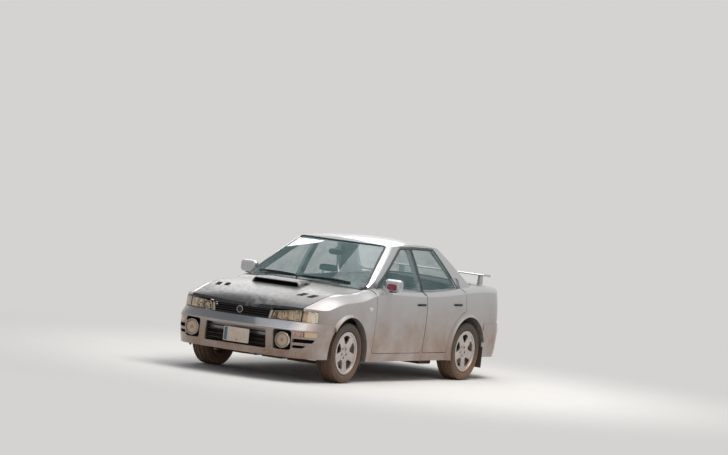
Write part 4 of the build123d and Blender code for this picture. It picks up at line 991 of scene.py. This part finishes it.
def bonnet_vents():
    """Black slats in each of the four vents, over a near-black floor of painted shade."""
    tree = tree_of("bonnet")
    for side, sign in SIDES:
        for k, (back, out) in enumerate(VENT_STEPS):
            corners = [Vector((x - back, sign * (y + out), 0)) for x, y in VENT_CORNERS]
            middle = sum(corners, Vector()) / 4
            top = []
            for corner in corners:
                probe = middle + (corner - middle) * 1.25
                skin_z = tree.ray_cast(probe + UP * 2, DOWN)[0].z
                inner = middle + (corner - middle) * 0.985
                top.append(Vector((inner.x, inner.y, skin_z - 0.016)))
            # Near-black floor under the slats: painted shade
            shape = rings([[p + DOWN * 0.002 for p in top], top])
            piece(f"vent_painted_shade_{side}_{k}", shape, "painted_shade", "bonnet", smooth=False)
            low, high = UP * 0.002, (top[2] - top[1]).normalized() * 0.009 + UP * 0.008
            slats = []
            for n in range(5):
                t = (n + 0.7) / 5.4
                a, b = top[1].lerp(top[2], t), top[0].lerp(top[3], t)
                slat = [a + low, b + low, b + high, a + high]
                slats.append(rings([slat, [p + UP * 0.0016 for p in slat]]))
            piece(f"vent_slats_{side}_{k}", joined(slats), "satin_black", "bonnet", smooth=False)


def scoop_duct():
    """Black duct behind the scoop's open mouth, its near-black standing in as painted shade."""
    top, half_top, half_low = 0.9468, 0.25, 0.259
    sections = []
    for x in SCOOP_STATIONS:
        floor = 0.897 + (1.5 - x) / 0.19 * 0.028 + 0.0012
        corners = ((half_top, top), (-half_top, top), (-half_low, floor), (half_low, floor))
        sections.append([(x, y, z) for y, z in round_cornered(corners, 0.014)])
    verts, faces = rings(sections)
    open_faces = [f for f in faces if 0 not in f or len(f) == 4]
    piece("scoop_duct", (verts, open_faces), "painted_shade", "bonnet")


def small_details():
    """Fender repeaters, inside mirror and fixings under the bumper."""
    fenders = tree_of("front_fenders")
    for side, sign in SIDES:
        hit = fenders.ray_cast(Vector((REPEATER_X, sign * 1.2, REPEATER_Z)), ACROSS * -sign)[0]
        shape = pillow(hit, AHEAD, ACROSS * sign, 0.043, 0.023, 0.011)
        piece(f"repeater_{side}", shape, "clear")
        for k, (x, y, z) in enumerate(BUMPER_STUDS):
            stud = [(0, 0.012), (0.008, 0.012), (0.01, 0.008), (0.016, 0.0065), (0.017, 0.001)]
            piece(f"bumper_stud_{side}_{k}", turned(stud, (x, sign * y, z), DOWN, 14), "black")
    shell = pillow(INSIDE_MIRROR, ACROSS, (1, 0, 0.12), 0.085, 0.031, 0.022)
    piece("inside_mirror_shell", shell, "dash")
    pane = pillow(INSIDE_MIRROR + BACK * 0.0005, ACROSS, (-1, 0, -0.12), 0.08, 0.027, 0.003)
    piece("inside_mirror_pane", pane, "mirror")
    stalk = rounded_bar([(0.309, 0, 1.262), (0.309, 0, 1.282), (0.268, 0, 1.3)], 0.006)
    piece("inside_mirror_stalk", stalk, "dash")


# Cabin


def solved(obj):
    """An object as its modifiers make it."""
    return obj.evaluated_get(bpy.context.evaluated_depsgraph_get())


def swollen(shape, cap):
    """A closed form blown up as cloth; no point moves further than the cap."""
    obj = add_object("pad", mesh_of("pad", shape))
    round_off = obj.modifiers.new("round", "SUBSURF")
    round_off.levels = round_off.render_levels = 2
    even = obj.modifiers.new("even", "REMESH")
    even.mode = "VOXEL"
    even.voxel_size = VOXEL
    even_mesh = bpy.data.meshes.new_from_object(solved(obj))
    obj.modifiers.clear()
    obj.data = even_mesh
    before = [v.co.copy() for v in even_mesh.vertices]
    cloth = obj.modifiers.new("cloth", "CLOTH")
    cloth.settings.use_pressure = True
    cloth.settings.uniform_pressure_force = PRESSURE
    cloth.settings.effector_weights.gravity = 0
    for frame_number in range(1, CLOTH_FRAMES + 1):
        bpy.context.scene.frame_set(frame_number)
    verts = []
    for a, v in zip(before, solved(obj).data.vertices):
        move = v.co - a
        verts.append(a + move * min(1, cap / move.length) if move.length > 1e-9 else a)
    faces = [tuple(p.vertices) for p in even_mesh.polygons]
    bpy.context.scene.frame_set(1)
    bpy.data.objects.remove(obj)
    return verts, faces


def pad(shape, seams, cap):
    """Swollen pad with seams pressed in: (axis, place, half width, depth, facing) rows."""
    shape = swollen(shape, cap)
    points = [Vector(v) for v in shape[0]]
    middle = sum(points, Vector()) / len(points)
    out = []
    for p in points:
        inward = (middle - p).normalized()
        press = 0
        for letter, at, half, depth, facing in seams:
            if facing is None or (p - middle).dot(facing) >= 0:
                press = max(press, depth * exp(-(((p[letter] - at) / half) ** 2)))
        push = Vector((inward.x, inward.y * 0.2, inward.z)).normalized()
        out.append(p + push * press)
    return out, shape[1]


def loft_pad(outline, half, wing, push, edge_fall):
    """Starting form of a pad: a side outline carried across, with wings raised at both sides."""
    count = len(outline)
    middle = Vector((sum(p[0] for p in outline) / count, 0, sum(p[1] for p in outline) / count))
    sections = []
    for k in range(13):
        t = k / 12 * 2 - 1
        edge = 1 - edge_fall * abs(t) ** 6
        rise = wing * min(1, max(0, abs(t) - 0.58) / 0.22)
        ring = [(middle + (Vector((x, 0, z)) - middle) * edge, front) for x, z, front in outline]
        sections.append([p + push * (rise * front) + ACROSS * (t * half) for p, front in ring])
    return rings(sections)


def soft_piece(name, shape, finish):
    """A padded piece on the body, with a smooth surface."""
    obj = piece(name, shape, finish)
    soft = obj.modifiers.new("soft", "SUBSURF")
    soft.levels = soft.render_levels = 1
    return obj


def seams_across(places, half, depth, facing):
    """Seams that run from front to back at both sides of the middle."""
    return [(1, sign * y, half, depth, facing) for y in places for sign in (1, -1)]


# Side outlines of the front seat's pads: x, z and 1 where the wings rise
SEAT_CUSHION = (
    (-0.03, 0.355, 0), (0.41, 0.355, 0), (0.425, 0.395, 0), (0.405, 0.435, 1), (0.34, 0.45, 1),
    (0.05, 0.43, 1), (-0.105, 0.425, 0), (-0.11, 0.36, 0),
)
SEAT_BACK = (
    (-0.105, 0.37, 0), (-0.04, 0.41, 1), (-0.08, 0.56, 1), (-0.17, 0.9, 1), (-0.2, 0.965, 0),
    (-0.238, 0.965, 0), (-0.228, 0.88, 0), (-0.152, 0.5, 0),
)
SEAT_HEAD = (
    (-0.212, 1.005, 0), (-0.198, 1.015, 0), (-0.208, 1.07, 0), (-0.232, 1.082, 0), (-0.258, 1.075, 0),
    (-0.252, 1.005, 0),
)

# Frame bars in pairs: name, distance from the seat's middle, radius, finish and (x, z) line
SEAT_BARS = (
    ("seat_rail", 0.185, 0.0095, "chassis", (
        (-0.055, 0.262), (0.375, 0.262), (0.378, 0.3), (0.3, 0.335), (0.02, 0.335), (-0.05, 0.3),
        (-0.055, 0.268),
    )),
    ("seat_recliner", 0.206, 0.011, "chassis", (
        (0.3, 0.335), (0.02, 0.335), (-0.085, 0.385), (-0.125, 0.5), (-0.165, 0.68),
    )),
    ("head_post", 0.055, 0.006, "iron", ((-0.205, 0.94), (-0.226, 1.02))),
)
SEAT_BAR_Z = 0.335
SEAT_BAR_HALF = 0.206


def front_seats():
    """Two bucket seats on frames: cushion, winged back and head restraint as swollen pads."""
    ahead = Vector((0.97, 0, 0.25))
    cushion_seams = seams_across([0.125], SEAM_HALF, 0.007, UP) + seams_across([0.042], 0.005, 0.005, UP)
    back_seams = seams_across([0.12], SEAM_HALF, 0.007, ahead) + seams_across([0.04], 0.005, 0.005, ahead)
    cushion_seams.append((0, 0.33, SEAM_HALF, 0.006, UP))
    back_seams.append((2, 0.8, SEAM_HALF, 0.006, ahead))
    head_seams = seams_across([0.07], 0.004, 0.004, None)
    rows = (
        ("cushion", loft_pad(SEAT_CUSHION, 0.218, 0.03, UP, 0.1), cushion_seams, PADDING_CAP, "seat"),
        ("back", loft_pad(SEAT_BACK, 0.212, 0.05, ahead, 0.12), back_seams, PADDING_CAP, "seat"),
        ("head", loft_pad(SEAT_HEAD, 0.105, 0, ahead, 0.22), head_seams, 0.012, "seat_side"),
    )
    pads = []
    for label, form, seams, cap, finish in rows:
        verts, faces = pad(form, seams, cap)
        for side, sign in SIDES:
            moved = [v + ACROSS * (sign * SEAT_Y) for v in verts]
            pads.append(soft_piece(f"seat_{label}_{side}", (moved, faces), finish))
    for side, sign in SIDES:
        for name, apart, radius, finish, line in SEAT_BARS:
            for k, off in enumerate((-apart, apart)):
                points = [(x, sign * SEAT_Y + off, z) for x, z in line]
                piece(f"{name}_{side}_{k}", rounded_bar(points, radius), finish)
        for k, x in enumerate((0.04, 0.28)):
            ends = [(x, sign * SEAT_Y + off, SEAT_BAR_Z) for off in (-SEAT_BAR_HALF, SEAT_BAR_HALF)]
            piece(f"seat_bar_{side}_{k}", rounded_bar(ends, 0.009), "chassis")
    return pads[0]


def bench():
    """Rear bench: sewn and swollen cushion and back."""
    cushion = [(-0.85, 0.28, 0), (-0.49, 0.28, 0), (-0.474, 0.43, 0), (-0.495, 0.462, 1), (-0.6, 0.464, 1)]
    cushion += [(-0.925, 0.44, 0), (-0.925, 0.3, 0)]
    back = [(-0.955, 0.4, 0), (-0.895, 0.43, 1), (-0.935, 0.56, 1), (-1.065, 0.905, 1), (-1.09, 0.925, 0)]
    back += [(-1.108, 0.905, 0)]
    pads = []
    for label, outline, push in (("cushion", cushion, UP), ("back", back, Vector((0.92, 0, 0.35)))):
        seams = seams_across([0, 0.19, 0.39], 0.007, 0.008, push)
        shape = pad(loft_pad(outline, 0.545, 0, push, 0.08), seams, PADDING_CAP)
        pads.append(soft_piece(f"bench_{label}", shape, "seat"))
    return pads[0]


def dash_details():
    """Instrument faces and the gear lever with its boot."""
    for k, y in enumerate(DIAL_Y):
        dial = [(0, 0.046), (0.003, 0.047), (0.004, 0.043), (0.002, 0.04), (0.0025, 0.002)]
        piece(f"dial_{k}", turned(dial, (DIAL_X, y, DIAL_Z), (-1, 0, 0.12), 32), "satin_black")
    lever = [(0, 0.06), (0.018, 0.05), (0.05, 0.026), (0.085, 0.012), (0.15, 0.008), (0.16, 0.018)]
    lever += [(0.19, 0.02), (0.202, 0.012), (0.204, 0.002)]
    piece("gear_lever", turned(lever, LEVER_FOOT, (0.08, 0, 1), 24), "dash")


def main():
    """Camera, stage and finishes, then the pieces."""
    camera()
    stage()
    lights()
    finish_nodes()
    lamp_shells = []
    for side, sign in SIDES:
        lamp_shells += headlamp(side, sign)
    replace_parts(lamp_shells[0], "headlamps")
    fogs = [fog_lamp(side, sign) for side, sign in SIDES]
    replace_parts(fogs[0], "fog_lamps")
    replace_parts(front_seats(), "front_seats")
    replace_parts(bench(), "rear_bench")
    gasket("windscreen_seal", "windscreen", (0.5, 0, 0.86), "body", 0.024)
    gasket("rear_window_seal", "rear_window", (-0.5, 0, 0.8), "body", 0.022)
    for side, sign in SIDES:
        mirror_trim(side, sign)
        for door in ("front", "rear"):
            pane, body = f"{door}_door_glass_{side}", f"{door}_door_{side}"
            gasket(f"{door}_glass_seal_{side}", pane, (0, sign, 0.35), body)
            door_handle(door, side, sign)
        for axle, x in WHEEL_X.items():
            tyre(axle, side, sign, x)
            wheel_trim(axle, side, sign, x)
    front_plate()
    sun_strip()
    grille_disc()
    bonnet_vents()
    scoop_duct()
    lamp_trims()
    wiper_blades()
    small_details()
    dash_details()
    intake_mesh()
    painted_shade_backings()


main()
scene = bpy.context.scene
scene.view_settings.view_transform = "Standard"
